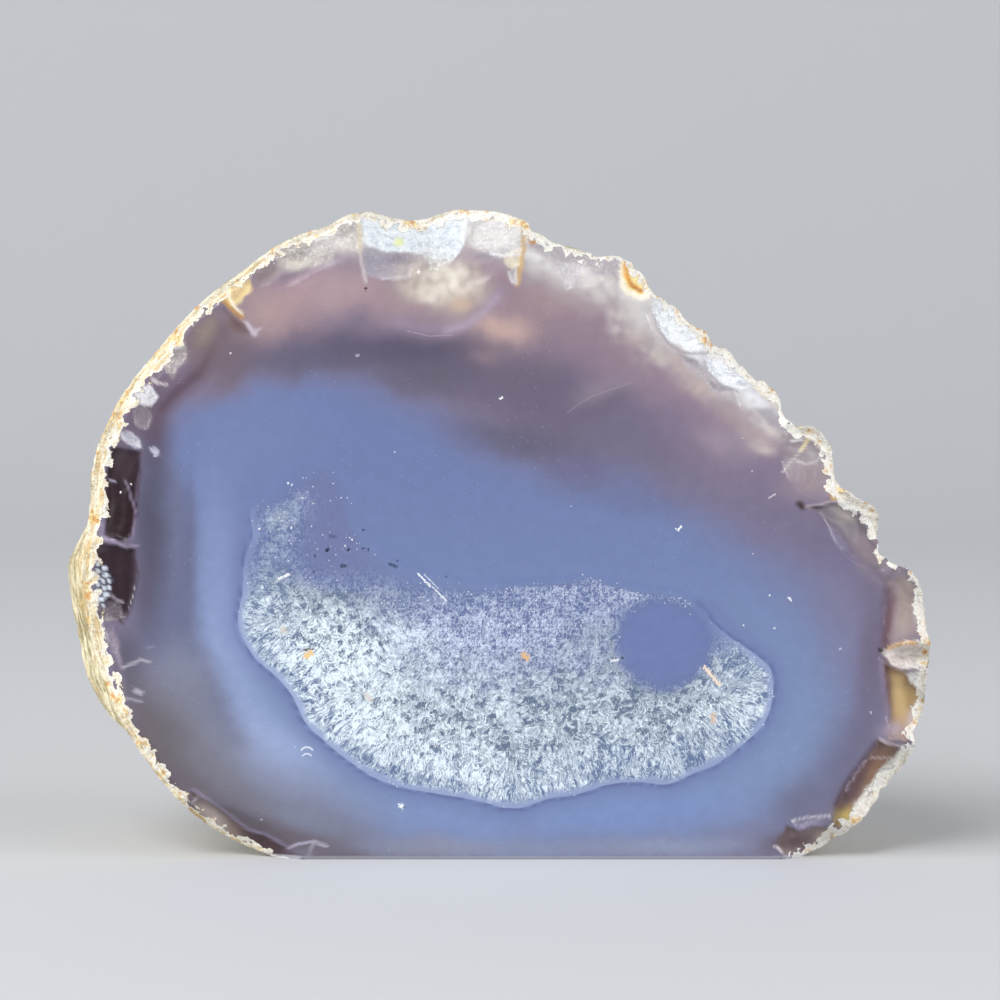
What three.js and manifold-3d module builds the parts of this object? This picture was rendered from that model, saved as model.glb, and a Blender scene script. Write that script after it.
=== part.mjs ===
import * as THREE from 'three';
import { mergeVertices } from 'three/addons/utils/BufferGeometryUtils.js';
import Module from 'manifold-3d';

// An agate end piece, 110 mm wide: the end of a nodule, sawn off and polished on the cut.
// The polished cut is upright and faces -Y. Behind it the natural rind closes in a lumpy
// dome. A second saw cut, on the underside at z = 0, makes the flat that it stands on.
// Lengths are in millimetres. The origin is under the middle of the stone, on the base.

const DEPTH = 42; // from the polished cut to the back of the dome
const FACE_Y = -DEPTH / 2; // the plane of the polished cut
const ROUNDNESS = 2.5; // of the dome's profile: 2 is an ellipse, more is squarer

const COLUMNS = 148; // steps round the rim
const BACK_RINGS = 25; // steps from the rim to the back of the dome
const FACE_RINGS = [0.7, 0.78, 0.85, 0.905, 0.945, 0.975, 1]; // of the way out to the rim

// The rim of the cut, anticlockwise as [x, z], from the right-hand side over the top.
// Its underside runs below z = 0 and is sawn away with the base.
const RIM = [
  [55.0, 26.8], [54.4, 31.1], [54.0, 33.2], [53.3, 35.3], [51.9, 36.9], [50.1, 37.6],
  [48.8, 38.6], [48.1, 40.5], [48.3, 43.3], [47.6, 44.7], [46.2, 45.5], [44.3, 46.8],
  [42.7, 48.1], [42.3, 52.5], [41.3, 53.9], [39.6, 55.0], [37.8, 55.1], [36.5, 56.1],
  [35.6, 58.5], [34.2, 60.3], [32.2, 61.2], [30.2, 63.4], [29.3, 64.6], [27.7, 65.1],
  [26.4, 66.5], [25.8, 67.6], [24.4, 67.9], [22.4, 70.0], [19.2, 72.4], [18.4, 74.0],
  [17.1, 75.4], [15.7, 76.3], [11.9, 76.8], [7.3, 78.1], [5.5, 79.2], [4.1, 79.9],
  [3.7, 80.8], [0.1, 82.0], [-2.2, 82.2], [-5.8, 82.2], [-9.9, 81.0], [-12.3, 81.1],
  [-16.8, 82.1], [-18.9, 81.7], [-21.7, 80.3], [-25.1, 79.2], [-29.4, 76.9],
  [-31.5, 75.2], [-37.2, 70.9], [-42.6, 65.2], [-47.9, 58.3], [-51.2, 50.5],
  [-51.7, 45.7], [-52.1, 41.9], [-52.7, 38.6], [-52.7, 34.3], [-51.5, 26.8],
  [-50.3, 23.0], [-47.4, 16.9], [-43.9, 11.4], [-38.6, 5.4], [-33.9, 2.1],
  [-26.9, -0.6], [-18.7, -2.8], [-8.6, -5.2], [2.7, -6.0], [14.1, -5.4], [25.4, -3.5],
  [33.0, -1.8], [38.0, -0.4], [41.8, 1.4], [45.4, 3.8], [50.4, 9.9], [51.9, 12.0],
  [53.0, 14.2], [53.1, 16.1], [54.0, 18.2], [54.6, 20.3], [54.5, 22.5],
];
const SAWN_AWAY = 200; // side of the block of space under the base
const CENTRE = { x: 0, z: 38 }; // the rings of the cut close on this point
const DOME_TOP = { x: -6, z: 36 }; // and those of the dome on this one, at the back
const SMOOTHING = 0.1; // of the way round: notches shorter than this fade behind the rim
const NOTCHES_END = 0.4; // of the depth, where the last of them is gone
const OVAL = { x: 52, z: 43 }; // half the oval that the dome's rings come to at the back

// Scoops where the rim has chipped. Each is an oval bowl, half its size in `along` and
// `inward`, with `along` at `turn` degrees from +X, and `depth` deep at its middle.
const CHIPS = [
  { at: 'upper left', x: -25.0, z: 78.5, along: 10.5, inward: 9.0, turn: 29, depth: 1.6 },
  { at: 'top', x: -8.0, z: 83.0, along: 12.0, inward: 9.0, turn: 0, depth: 4.0 },
  { at: 'below the top', x: -6.0, z: 77.5, along: 8.0, inward: 6.0, turn: 0, depth: 1.0 },
  { at: 'right of the top', x: 9.7, z: 79.0, along: 7.5, inward: 6.5, turn: -15, depth: 2.6 },
  { at: 'ochre pocket', x: 17.0, z: 76.0, along: 5.0, inward: 5.0, turn: -40, depth: 3.0 },
  { at: 'upper slope', x: 23.5, z: 69.5, along: 5.3, inward: 5.0, turn: -45, depth: 3.0 },
  { at: 'middle slope', x: 28.9, z: 64.3, along: 4.4, inward: 4.0, turn: -42, depth: 3.0 },
  { at: 'lower slope', x: 34.0, z: 59.5, along: 5.0, inward: 4.2, turn: -42, depth: 2.6 },
  { at: 'lobe', x: 41.0, z: 51.5, along: 6.0, inward: 5.6, turn: -65, depth: 2.4 },
  { at: 'shoulder', x: 46.8, z: 42.3, along: 6.6, inward: 4.8, turn: -45, depth: 2.4 },
  { at: 'upper right', x: 54.0, z: 32.0, along: 7.0, inward: 5.8, turn: -80, depth: 3.4 },
  { at: 'leaf-shaped notch', x: 53.5, z: 26.0, along: 5.6, inward: 1.7, turn: 0, depth: 4.4 },
  { at: 'right', x: 54.6, z: 19.5, along: 5.8, inward: 6.0, turn: 82, depth: 4.0 },
  { at: 'lower right', x: 51.0, z: 8.6, along: 8.0, inward: 6.0, turn: 54, depth: 4.0 },
  { at: 'right foot', x: 41.8, z: 0.0, along: 6.6, inward: 4.8, turn: 30, depth: 3.0 },
  { at: 'left foot', x: -33.8, z: 1.0, along: 11.5, inward: 5.3, turn: -27, depth: 2.2 },
  { at: 'lower left', x: -51.8, z: 26.0, along: 9.0, inward: 4.0, turn: -70, depth: 2.0 },
  { at: 'left', x: -52.6, z: 46.0, along: 8.0, inward: 6.0, turn: 88, depth: 1.5 },
  { at: 'upper left edge', x: -45.6, z: 64.6, along: 9.5, inward: 5.0, turn: 54, depth: 1.6 },
];

// On the left the rind swells out past the rim before it closes.
const SWELL = 2.4; // how far it stands past the rim
const SWELL_TOWARDS = 192; // degrees from +X, seen from the front
const SWELL_SPREAD = 34; // degrees to each side where it has died away
const SWELL_REACH = 0.62; // of the depth, where it is back in line

// The rind's relief: long lumps, and round dimples between them.
const WAVES = 10;
const LONGEST_WAVE = 38;
const WAVE_STEP = 0.87; // each wave is this much shorter than the one before
const LUMP_HEIGHT = 0.7; // of the longest wave. The others are lower as they are shorter
const WAVE_START = 1.75; // radians into the first wave. Each one after starts 1 further in
const RELIEF_STARTS = 0.22; // of the depth, where the relief has grown to its full height
const DIMPLES = 24;
const DIMPLE_RADIUS = { least: 5, most: 9 };
const DIMPLE_DEPTH = 0.17; // as a share of the dimple's radius
const SCATTER = { round: 0.7549, out: 0.5698, size: 0.618 }; // steps that never line up
const GOLDEN_ANGLE = Math.PI * (3 - Math.sqrt(5));

const degrees = THREE.MathUtils.degToRad;
const smoothstep = THREE.MathUtils.smoothstep;
const lerp = THREE.MathUtils.lerp;

// How far behind the plane of the cut the surface lies at (x, z), where the rim is chipped.
function chipDepth(x, z) {
  let deepest = 0;
  for (const chip of CHIPS) {
    const turn = degrees(chip.turn);
    const dx = x - chip.x;
    const dz = z - chip.z;
    const along = (dx * Math.cos(turn) + dz * Math.sin(turn)) / chip.along;
    const inward = (dz * Math.cos(turn) - dx * Math.sin(turn)) / chip.inward;
    deepest = Math.max(deepest, chip.depth * (1 - along * along - inward * inward));
  }
  return deepest;
}

// The height of the lumps at a point: a sum of plane waves that run every way.
function lumps(p) {
  let height = 0;
  for (let i = 0; i < WAVES; i++) {
    const tilt = Math.acos(1 - (2 * i + 1) / WAVES);
    const turn = i * GOLDEN_ANGLE;
    const share = WAVE_STEP ** i;
    const run =
      p.x * Math.sin(tilt) * Math.cos(turn) +
      p.y * Math.cos(tilt) +
      p.z * Math.sin(tilt) * Math.sin(turn);
    const along = (2 * Math.PI * run) / (LONGEST_WAVE * share) + WAVE_START + i;
    height += LUMP_HEIGHT * share * Math.sin(along);
  }
  return height;
}

// The dimples, scattered over the dome without overlapping much.
const dimples = Array.from({ length: DIMPLES }, (_, i) => {
  const turn = 2 * Math.PI * ((i * SCATTER.round) % 1);
  const out = Math.sqrt((0.5 + i * SCATTER.out) % 1);
  const rim = { x: CENTRE.x + OVAL.x * Math.cos(turn), z: CENTRE.z + OVAL.z * Math.sin(turn) };
  return {
    middle: domePoint(rim, rim, evenSweep(1 - out), 0),
    radius: lerp(DIMPLE_RADIUS.least, DIMPLE_RADIUS.most, (i * SCATTER.size) % 1),
  };
});

function dimpleDepth(p) {
  let deepest = 0;
  for (const { middle, radius } of dimples) {
    const away = p.distanceTo(middle) / radius;
    deepest = Math.max(deepest, DIMPLE_DEPTH * radius * (1 - away * away));
  }
  return deepest;
}

// A point of the smooth dome: `sweep` goes from 0 at the rim to a quarter turn at the back.
// `smooth` is the rim's point without its notches.
function domePoint(rim, smooth, sweep, startDepth) {
  const width = Math.cos(sweep) ** (2 / ROUNDNESS);
  const back = Math.sin(sweep) ** (2 / ROUNDNESS);
  const turn = Math.atan2(smooth.z - CENTRE.z, smooth.x - CENTRE.x);
  const unnotched = smoothstep(back, 0, NOTCHES_END);
  const rounded = smoothstep(back, NOTCHES_END, 1);
  const dx = lerp(
    lerp(rim.x, smooth.x, unnotched) - CENTRE.x,
    OVAL.x * Math.cos(turn),
    rounded,
  );
  const dz = lerp(
    lerp(rim.z, smooth.z, unnotched) - CENTRE.z,
    OVAL.z * Math.sin(turn),
    rounded,
  );
  const away = THREE.MathUtils.radToDeg(turn) - SWELL_TOWARDS;
  const awayEitherSide = Math.abs(THREE.MathUtils.euclideanModulo(away + 180, 360) - 180);
  const swell =
    SWELL *
    (1 - smoothstep(awayEitherSide, 0, SWELL_SPREAD)) *
    Math.sin(Math.PI * Math.min(1, back / SWELL_REACH));
  const out = width + swell / Math.hypot(dx, dz);
  return new THREE.Vector3(
    lerp(CENTRE.x, DOME_TOP.x, back) + dx * out,
    FACE_Y + DEPTH * back + startDepth * (1 - unnotched),
    lerp(CENTRE.z, DOME_TOP.z, back) + dz * out,
  );
}

// The same point with the rind's lumps and dimples, which die away at the rim.
function rindPoint(rim, smooth, sweep, startDepth) {
  const p = domePoint(rim, smooth, sweep, startDepth);
  const width = Math.cos(sweep) ** (2 / ROUNDNESS);
  const back = Math.sin(sweep) ** (2 / ROUNDNESS);
  const outward = new THREE.Vector2(rim.x - CENTRE.x, rim.z - CENTRE.z).normalize();
  const side = width ** (ROUNDNESS - 1);
  const normal = new THREE.Vector3(
    outward.x * side,
    back ** (ROUNDNESS - 1),
    outward.y * side,
  ).normalize();
  const relief = (lumps(p) - dimpleDepth(p)) * smoothstep(back, 0, RELIEF_STARTS);
  return p.addScaledVector(normal, relief);
}

// The sweep that is a share `t` of the way along the dome's profile from the rim to the back.
function evenSweep(t) {
  const fromRim = t ** (ROUNDNESS / 2);
  const fromBack = (1 - t) ** (ROUNDNESS / 2);
  return ((Math.PI / 2) * fromRim) / (fromRim + fromBack);
}

// The rim's points, each moved to the mean of its neighbours on both sides.
function smoothed(rim) {
  const reach = Math.round((COLUMNS * SMOOTHING) / 2);
  return rim.map((_, i) => {
    const mean = new THREE.Vector3();
    for (let k = -reach; k <= reach; k++) mean.add(rim[(i + k + COLUMNS) % COLUMNS]);
    return mean.divideScalar(2 * reach + 1);
  });
}

// One closed skin: the middle of the cut, its rings out to the rim, then the dome's rings.
function stoneSkin() {
  const curve = new THREE.CatmullRomCurve3(
    RIM.map(([x, z]) => new THREE.Vector3(x, 0, z)),
    true,
    'centripetal',
  );
  const rim = curve.getSpacedPoints(COLUMNS).slice(0, COLUMNS);
  const smooth = smoothed(smoothed(rim));
  const rings = FACE_RINGS.map((share) =>
    rim.map((r) => {
      const x = CENTRE.x + (r.x - CENTRE.x) * share;
      const z = CENTRE.z + (r.z - CENTRE.z) * share;
      return new THREE.Vector3(x, FACE_Y + chipDepth(x, z), z);
    }),
  );
  for (let i = 1; i < BACK_RINGS; i++) {
    const sweep = evenSweep(i / BACK_RINGS);
    rings.push(rim.map((r, n) => rindPoint(r, smooth[n], sweep, chipDepth(r.x, r.z))));
  }
  const middle = new THREE.Vector3(CENTRE.x, FACE_Y, CENTRE.z);
  const back = rindPoint(rim[0], smooth[0], Math.PI / 2, 0);

  const points = [middle, ...rings.flat(), back];
  const last = points.length - 1;
  const lastRing = last - COLUMNS;
  const faces = [];
  for (let i = 0; i < COLUMNS; i++) {
    const next = (i + 1) % COLUMNS;
    faces.push(0, 1 + i, 1 + next);
    for (let k = 0; k + 1 < rings.length; k++) {
      const a = 1 + k * COLUMNS;
      const b = a + COLUMNS;
      faces.push(a + i, b + i, b + next, a + i, b + next, a + next);
    }
    faces.push(lastRing + i, last, lastRing + next);
  }
  const geometry = new THREE.BufferGeometry().setFromPoints(points);
  geometry.setIndex(faces);
  return geometry;
}

const wasm = await Module();
wasm.setup();

function toSolid(geometry) {
  const bare = geometry.clone();
  bare.deleteAttribute('normal');
  bare.deleteAttribute('uv');
  const merged = mergeVertices(bare, 1e-4);
  return new wasm.Manifold(
    new wasm.Mesh({
      numProp: 3,
      vertProperties: new Float32Array(merged.attributes.position.array),
      triVerts: new Uint32Array(merged.index.array),
    }),
  );
}

function toGeometry(solid) {
  const mesh = solid.getMesh();
  const geometry = new THREE.BufferGeometry();
  geometry.setAttribute('position', new THREE.BufferAttribute(mesh.vertProperties, mesh.numProp));
  geometry.setIndex(new THREE.BufferAttribute(mesh.triVerts, 1));
  geometry.computeVertexNormals();
  return geometry;
}

// What the base saw takes away: everything below z = 0.
function belowBase() {
  return new THREE.BoxGeometry(SAWN_AWAY, SAWN_AWAY, SAWN_AWAY).translate(0, 0, -SAWN_AWAY / 2);
}

const agate = new THREE.MeshStandardMaterial({
  color: 0x7a88b4,
  roughness: 0.35,
  metalness: 0,
});

// The stone, moved so that the middle of its width and depth is over the origin.
const shape = toGeometry(toSolid(stoneSkin()).subtract(toSolid(belowBase())));
shape.computeBoundingBox();
const middle = shape.boundingBox.getCenter(new THREE.Vector3());
shape.translate(-middle.x, -middle.y, 0);
const stone = new THREE.Mesh(shape, agate);
stone.name = 'agate_end_piece';

const part = new THREE.Group();
part.add(stone);

export default part;
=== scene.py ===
import math

import bmesh
import bpy
import numpy as np
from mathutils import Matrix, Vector, noise
from mathutils.kdtree import KDTree


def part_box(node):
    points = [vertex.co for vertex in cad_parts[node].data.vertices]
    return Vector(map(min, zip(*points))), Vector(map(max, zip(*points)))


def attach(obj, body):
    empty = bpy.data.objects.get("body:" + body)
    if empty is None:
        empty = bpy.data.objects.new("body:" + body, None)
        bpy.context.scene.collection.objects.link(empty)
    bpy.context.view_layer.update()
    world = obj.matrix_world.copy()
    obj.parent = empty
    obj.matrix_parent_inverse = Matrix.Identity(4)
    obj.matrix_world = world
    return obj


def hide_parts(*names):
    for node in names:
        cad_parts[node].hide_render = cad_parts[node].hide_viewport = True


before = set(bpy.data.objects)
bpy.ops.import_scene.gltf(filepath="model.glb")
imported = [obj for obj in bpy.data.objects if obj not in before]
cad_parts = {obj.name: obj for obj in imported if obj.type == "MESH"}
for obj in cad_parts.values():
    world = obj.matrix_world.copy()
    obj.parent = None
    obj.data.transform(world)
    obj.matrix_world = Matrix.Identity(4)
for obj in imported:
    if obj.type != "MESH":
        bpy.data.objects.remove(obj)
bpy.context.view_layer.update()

# The stone: the sawn-off end of an agate nodule, one natural piece of banded chalcedony round
# quartz, in a cream rind. The big cut is polished, its edge is chipped, and the small cut below
# is left sawn. Sizes are in millimetres, with x and z across the polished cut and y behind it.
DEPTH = 42.0  # from the polished cut to the back of the dome
CUT_Y = -DEPTH / 2  # the plane of the polished cut
ROUNDNESS = 2.5  # of the dome's profile: 2 is an ellipse, more is squarer
RIM = [
    (55.0, 26.8), (54.4, 31.1), (54.0, 33.2), (53.3, 35.3), (51.9, 36.9), (50.1, 37.6),
    (48.8, 38.6), (48.1, 40.5), (48.3, 43.3), (47.6, 44.7), (46.2, 45.5), (44.3, 46.8),
    (42.7, 48.1), (42.3, 52.5), (41.3, 53.9), (39.6, 55.0), (37.8, 55.1), (36.5, 56.1),
    (35.6, 58.5), (34.2, 60.3), (32.2, 61.2), (30.2, 63.4), (29.3, 64.6), (27.7, 65.1),
    (26.4, 66.5), (25.8, 67.6), (24.4, 67.9), (22.4, 70.0), (19.2, 72.4), (18.4, 74.0),
    (17.1, 75.4), (15.7, 76.3), (11.9, 76.8), (7.3, 78.1), (5.5, 79.2), (4.1, 79.9),
    (3.7, 80.8), (0.1, 82.0), (-2.2, 82.2), (-5.8, 82.2), (-9.9, 81.0), (-12.3, 81.1),
    (-16.8, 82.1), (-18.9, 81.7), (-21.7, 80.3), (-25.1, 79.2), (-29.4, 76.9),
    (-31.5, 75.2), (-37.2, 70.9), (-42.6, 65.2), (-47.9, 58.3), (-51.2, 50.5),
    (-51.7, 45.7), (-52.1, 41.9), (-52.7, 38.6), (-52.7, 34.3), (-51.5, 26.8),
    (-50.3, 23.0), (-47.4, 16.9), (-43.9, 11.4), (-38.6, 5.4), (-33.9, 2.1),
    (-26.9, -0.6), (-18.7, -2.8), (-8.6, -5.2), (2.7, -6.0), (14.1, -5.4), (25.4, -3.5),
    (33.0, -1.8), (38.0, -0.4), (41.8, 1.4), (45.4, 3.8), (50.4, 9.9), (51.9, 12.0),
    (53.0, 14.2), (53.1, 16.1), (54.0, 18.2), (54.6, 20.3), (54.5, 22.5),
]
CENTRE = np.array([0.0, 38.0])  # the rings of the cut close on this point
DOME_TOP = np.array([-6.0, 36.0])  # and those of the dome on this one, at the back
OVAL = np.array([52.0, 43.0])  # half the oval that the dome's rings come to
SMOOTHING = 0.1  # of the way round: notches shorter than this fade behind the rim
NOTCHES_END = 0.4  # of the depth, where the last of them is gone


def closed_spline(points, steps=24):
    """A smooth closed line through the points (centripetal Catmull-Rom)."""
    p = np.array(points, float)
    t = np.linspace(0, 1, steps, endpoint=False)[:, None]
    line = []
    for i in range(len(p)):
        a, b, c, d = p[i - 1], p[i], p[(i + 1) % len(p)], p[(i + 2) % len(p)]
        ab, bc, cd = (math.sqrt(math.dist(u, v)) for u, v in ((a, b), (b, c), (c, d)))
        leave = ((b - a) / ab - (c - a) / (ab + bc) + (c - b) / bc) * bc
        arrive = ((c - b) / bc - (d - b) / (bc + cd) + (d - c) / cd) * bc
        line.append(
            b
            + leave * t
            + (3 * (c - b) - 2 * leave - arrive) * t**2
            + (2 * (b - c) + leave + arrive) * t**3
        )
    return np.concatenate(line)


def evenly(line, count, closed=True):
    """The line again, as that many points at even steps."""
    line = np.vstack([line, line[:1]]) if closed else np.asarray(line, float)
    run = np.concatenate([[0], np.cumsum(np.linalg.norm(np.diff(line, axis=0), axis=1))])
    at = np.linspace(0, run[-1], count, endpoint=not closed)
    return np.stack([np.interp(at, run, line[:, k]) for k in (0, 1)], 1)


def ease(value, low, high):
    """0 below low, 1 above high, and smooth between them."""
    t = np.clip((value - low) / (high - low), 0, 1)
    return t * t * (3 - 2 * t)


def grain(points, size, seed=0.0):
    """Smooth noise from -1 to 1 at each point, with lumps about as wide as size."""
    return np.array([noise.noise(Vector(p) / size + Vector((seed, 2 * seed, -seed))) for p in points])


# Round the rim the mesh is finest, for the chips. The flat middle and the back of the
# dome need one column in three of it.
COLUMNS = 1080
THIN = 3
rim = evenly(closed_spline(RIM), COLUMNS)
outward = rim - CENTRE
outward /= np.linalg.norm(outward, axis=1)[:, None]
# The broken edge: small bites out of the rim, deepest on the right.
rim_3d = np.column_stack([rim, np.zeros(COLUMNS)])
bites = 0.55 * np.clip(grain(rim_3d, 1.5, 3.1) + 0.1, 0, 1) + 0.4 * np.clip(
    grain(rim_3d, 0.7, 8.4), 0, 1
)
bites = 0.06 + bites * (0.3 + 0.7 * ease(rim[:, 0], 0, 25))
rough_rim = rim - outward * bites[:, None]


def without_notches(line):
    reach = round(len(line) * SMOOTHING / 2)
    window = np.ones(2 * reach + 1) / (2 * reach + 1)
    wrapped = np.vstack([line[-reach:], line, line[:reach]])
    return np.stack([np.convolve(wrapped[:, k], window, "valid") for k in (0, 1)], 1)


smooth_rim = without_notches(without_notches(rim))

# Scoops where the rim has chipped: middle x and z, half their size along and inward,
# the turn of the first from +X in degrees, and the depth.
SCOOPS = [
    (-25.0, 78.5, 10.5, 6.0, 29, 0.7),
    (-8.0, 83.0, 12.0, 9.0, 0, 4.0),
    (-6.0, 77.5, 8.0, 6.0, 0, 1.0),
    (9.7, 79.0, 7.5, 6.5, -15, 2.6),
    (17.0, 76.0, 5.0, 5.0, -40, 3.0),
    (23.5, 69.5, 5.3, 5.0, -45, 3.0),
    (28.9, 64.3, 4.4, 4.0, -42, 3.0),
    (34.0, 59.5, 5.0, 4.2, -42, 2.6),
    (41.0, 51.5, 6.0, 5.6, -65, 2.4),
    (46.8, 42.3, 6.6, 4.8, -45, 2.4),
    (54.0, 32.0, 7.0, 5.8, -80, 3.4),
    (53.5, 26.0, 5.6, 1.7, 0, 4.4),
    (54.6, 19.5, 5.8, 6.0, 82, 4.0),
    (51.0, 8.6, 8.0, 6.0, 54, 4.0),
    (41.8, 0.0, 6.6, 4.8, 30, 3.0),
    (-33.8, 1.0, 11.5, 5.3, -27, 2.2),
    (-51.8, 26.0, 9.0, 4.0, -70, 2.0),
    (-52.6, 46.0, 8.0, 6.0, 88, 1.5),
    (-45.6, 64.6, 9.5, 5.0, 54, 1.6),
]


def scoop_depth(at):
    deepest = np.zeros(len(at))
    for x, z, along, inward, turn, depth in SCOOPS:
        turn = math.radians(turn)
        dx, dz = at[:, 0] - x, at[:, 1] - z
        u = (dx * math.cos(turn) + dz * math.sin(turn)) / along
        v = (dz * math.cos(turn) - dx * math.sin(turn)) / inward
        deepest = np.maximum(deepest, depth * np.clip(1 - u * u - v * v, 0, 1) ** 1.4)
    return deepest


# The points of the cut, ring by ring from the rim inwards, and its middle point.
FINE_SHARES = np.linspace(1.0, 0.76, 37)
PLAIN_SHARES = np.linspace(0.75, 0.012, 70)
fine_face = np.concatenate([CENTRE + (rough_rim - CENTRE) * s for s in FINE_SHARES])
plain_face = np.concatenate([CENTRE + (rough_rim[::THIN] - CENTRE) * s for s in PLAIN_SHARES])
face = np.vstack([fine_face, plain_face, CENTRE])

# Marks on the cut are placed in steps of PIXEL from the top left of a view square on to
# it, x to the right and y down.
PIXEL = 0.126
VIEW_LEFT, VIEW_FLOOR = 498.35, 862.5


def to_cut(points):
    p = np.array(points, float)
    return np.stack([(p[..., 0] - VIEW_LEFT) * PIXEL, (VIEW_FLOOR - p[..., 1]) * PIXEL], -1)


spot = np.stack([face[:, 0] / PIXEL + VIEW_LEFT, VIEW_FLOOR - face[:, 1] / PIXEL], 1)
spot_3d = np.column_stack([spot, np.zeros(len(spot))])
drift = np.stack([grain(spot_3d, 34, 1.3), grain(spot_3d, 34, 7.9)], 1)
drift_fine = np.stack([grain(spot_3d, 9, 4.2), grain(spot_3d, 9, 5.7)], 1)
tone = np.zeros((len(face), 3))
relief = scoop_depth(face)
chalk = np.zeros(len(face))


def colour(text):
    """A colour such as '7482b2' as linear red, green and blue."""
    s = np.array([int(text[i : i + 2], 16) for i in (0, 2, 4)]) / 255
    return np.where(s <= 0.04045, s / 12.92, ((s + 0.055) / 1.055) ** 2.4)


def paint(text, amount):
    tone[:] += (colour(text) - tone) * amount[:, None]


def cloud(text, at, reach, turn=0, strength=1.0, wander=10, lumpy=0.0):
    """A soft-edged patch of colour, even or in small lumps."""
    turn = math.radians(turn)
    d = spot + drift * wander + drift_fine * wander * 0.25 - np.array(at, float)
    u = (d[:, 0] * math.cos(turn) + d[:, 1] * math.sin(turn)) / reach[0]
    v = (d[:, 1] * math.cos(turn) - d[:, 0] * math.sin(turn)) / reach[1]
    lumps_in_it = 1 + lumpy * np.clip(1.6 * drift_fine[:, 0] - 0.4, -1, 0.6)
    paint(text, np.clip(strength * lumps_in_it, 0, 1) * np.exp(-((u * u + v * v) ** 1.3)))


def inside(outline, at):
    """How far inside the outline each point is, less than 0 outside it."""
    p = np.array(outline, float)
    q = np.roll(p, -1, axis=0)
    nearest = np.full(len(at), 1e9)
    crossings = np.zeros(len(at), int)
    for a, b in zip(p, q):
        ab, ap = b - a, at - a
        t = np.clip(ap @ ab / (ab @ ab), 0, 1)
        nearest = np.minimum(nearest, np.linalg.norm(ap - t[:, None] * ab, axis=1))
        if a[1] != b[1]:
            across = (a[1] > at[:, 1]) != (b[1] > at[:, 1])
            crossings += across & (at[:, 0] < a[0] + ab[0] * (at[:, 1] - a[1]) / ab[1])
    return np.where(crossings % 2 == 1, nearest, -nearest)


def facet(text, outline, soft=1.5, drop=0.0, white=0.0, strength=1.0, wander=1.5):
    """A chip or a patch with a crisp edge. It may lie lower, and may be chalky."""
    p = np.array(outline, float)
    near = np.all((spot > p.min(0) - 12) & (spot < p.max(0) + 12), axis=1)
    d = np.full(len(spot), -99.0)
    d[near] = inside(outline, spot[near] + drift_fine[near] * wander)
    amount = strength * ease(d, -soft, soft)
    paint(text, amount)
    relief[:] += drop * ease(d, -1, 4) * (1 + 0.012 * np.clip(d, 0, 30))
    chalk[:] = chalk * (1 - amount) + white * amount


def beside(path, at):
    """How far each point is from the nearest part of the path."""
    d = np.full(len(at), 1e9)
    p = np.array(path, float)
    for a, b in zip(p[:-1], p[1:]):
        ab, ap = b - a, at - a
        t = np.clip(ap @ ab / (ab @ ab), 0, 1)
        d = np.minimum(d, np.linalg.norm(ap - t[:, None] * ab, axis=1))
    return d


def stroke(text, path, width, strength=1.0, soft=2.0, wander=1.0, drop=0.0):
    """A line or a narrow streak along a path."""
    p = np.array(path, float)
    near = np.all((spot > p.min(0) - 30) & (spot < p.max(0) + 30), axis=1)
    d = beside(path, spot[near] + drift_fine[near] * wander)
    amount = np.zeros(len(spot))
    amount[near] = 1 - ease(d, width / 2 - soft / 2, width / 2 + soft)
    paint(text, strength * amount)
    relief[:] += drop * amount


def draw(looks):
    """Puts on every look in a list, each over the ones before it."""
    for how, *values in looks:
        how(*values)


# How far each point of the cut is from the rim, and where along the rim it is nearest.
rim_line = evenly(rough_rim, 4 * COLUMNS)
rim_tree = KDTree(len(rim_line))
for i, (x, z) in enumerate(rim_line):
    rim_tree.insert((x, z, 0), i)
rim_tree.balance()
found = [rim_tree.find((x, z, 0)) for x, z in face]
from_rim = np.array([f[2] for f in found]) / PIXEL
rim_angle = np.degrees(np.arctan2(*(rim_line[[f[1] for f in found]] - CENTRE).T[::-1]))
rim_length = np.sum(np.linalg.norm(np.diff(rim_line, axis=0), axis=1))
rim_run = np.array([f[1] for f in found]) / (4 * COLUMNS) * rim_length

# The ground colours. Blue chalcedony fills the middle and mauve the outside, and the line
# where they meet wanders. The blue is palest low down on the left.
BLUE_EDGE = [
    (164, 432), (186, 404), (240, 382), (310, 372), (370, 384), (420, 404), (480, 440),
    (550, 470), (610, 470), (660, 485), (710, 520), (770, 552), (820, 590), (846, 640),
    (856, 700), (850, 760), (820, 800), (770, 826), (700, 842), (600, 850), (500, 850),
    (410, 842), (336, 826), (280, 796), (232, 754), (196, 706), (172, 650), (168, 560),
    (164, 490),
]
tone[:] = colour("7a7086")
blue_edge = inside(BLUE_EDGE, spot + drift * 9 + drift_fine * 2)
left_side = 1 - ease(spot[:, 0], 230, 420)
right_side = ease(spot[:, 0], 640, 800)
blend_width = 38 + 24 * right_side - 16 * left_side
height_share = ease(spot[:, 1], 420, 800)
blues = colour("6c7aa6") * (1 - height_share[:, None]) + colour("7c8fb5") * height_share[:, None]
to_blue = ease(blue_edge / blend_width, -1, 1)[:, None]
tone[:] = tone * (1 - to_blue) + blues * to_blue
BLUE_CLOUDS = [
    (cloud, "7c88b0", (240, 440), (80, 46), -20, 0.35),
    (cloud, "90a0c8", (222, 650), (36, 100), -4, 0.85, 6),
    (cloud, "9aa9cf", (268, 752), (66, 34), 40, 0.95, 6),
    (cloud, "7f92c2", (420, 822), (110, 22), 8, 0.5, 6),
    (cloud, "7b8fc2", (640, 815), (120, 24), -4, 0.6, 6),
    (cloud, "8391bb", (215, 545), (22, 70), 2, 0.6, 5),
    (cloud, "757aa6", (238, 560), (7, 60), 4, 0.45, 2),
]
draw(BLUE_CLOUDS)

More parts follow.
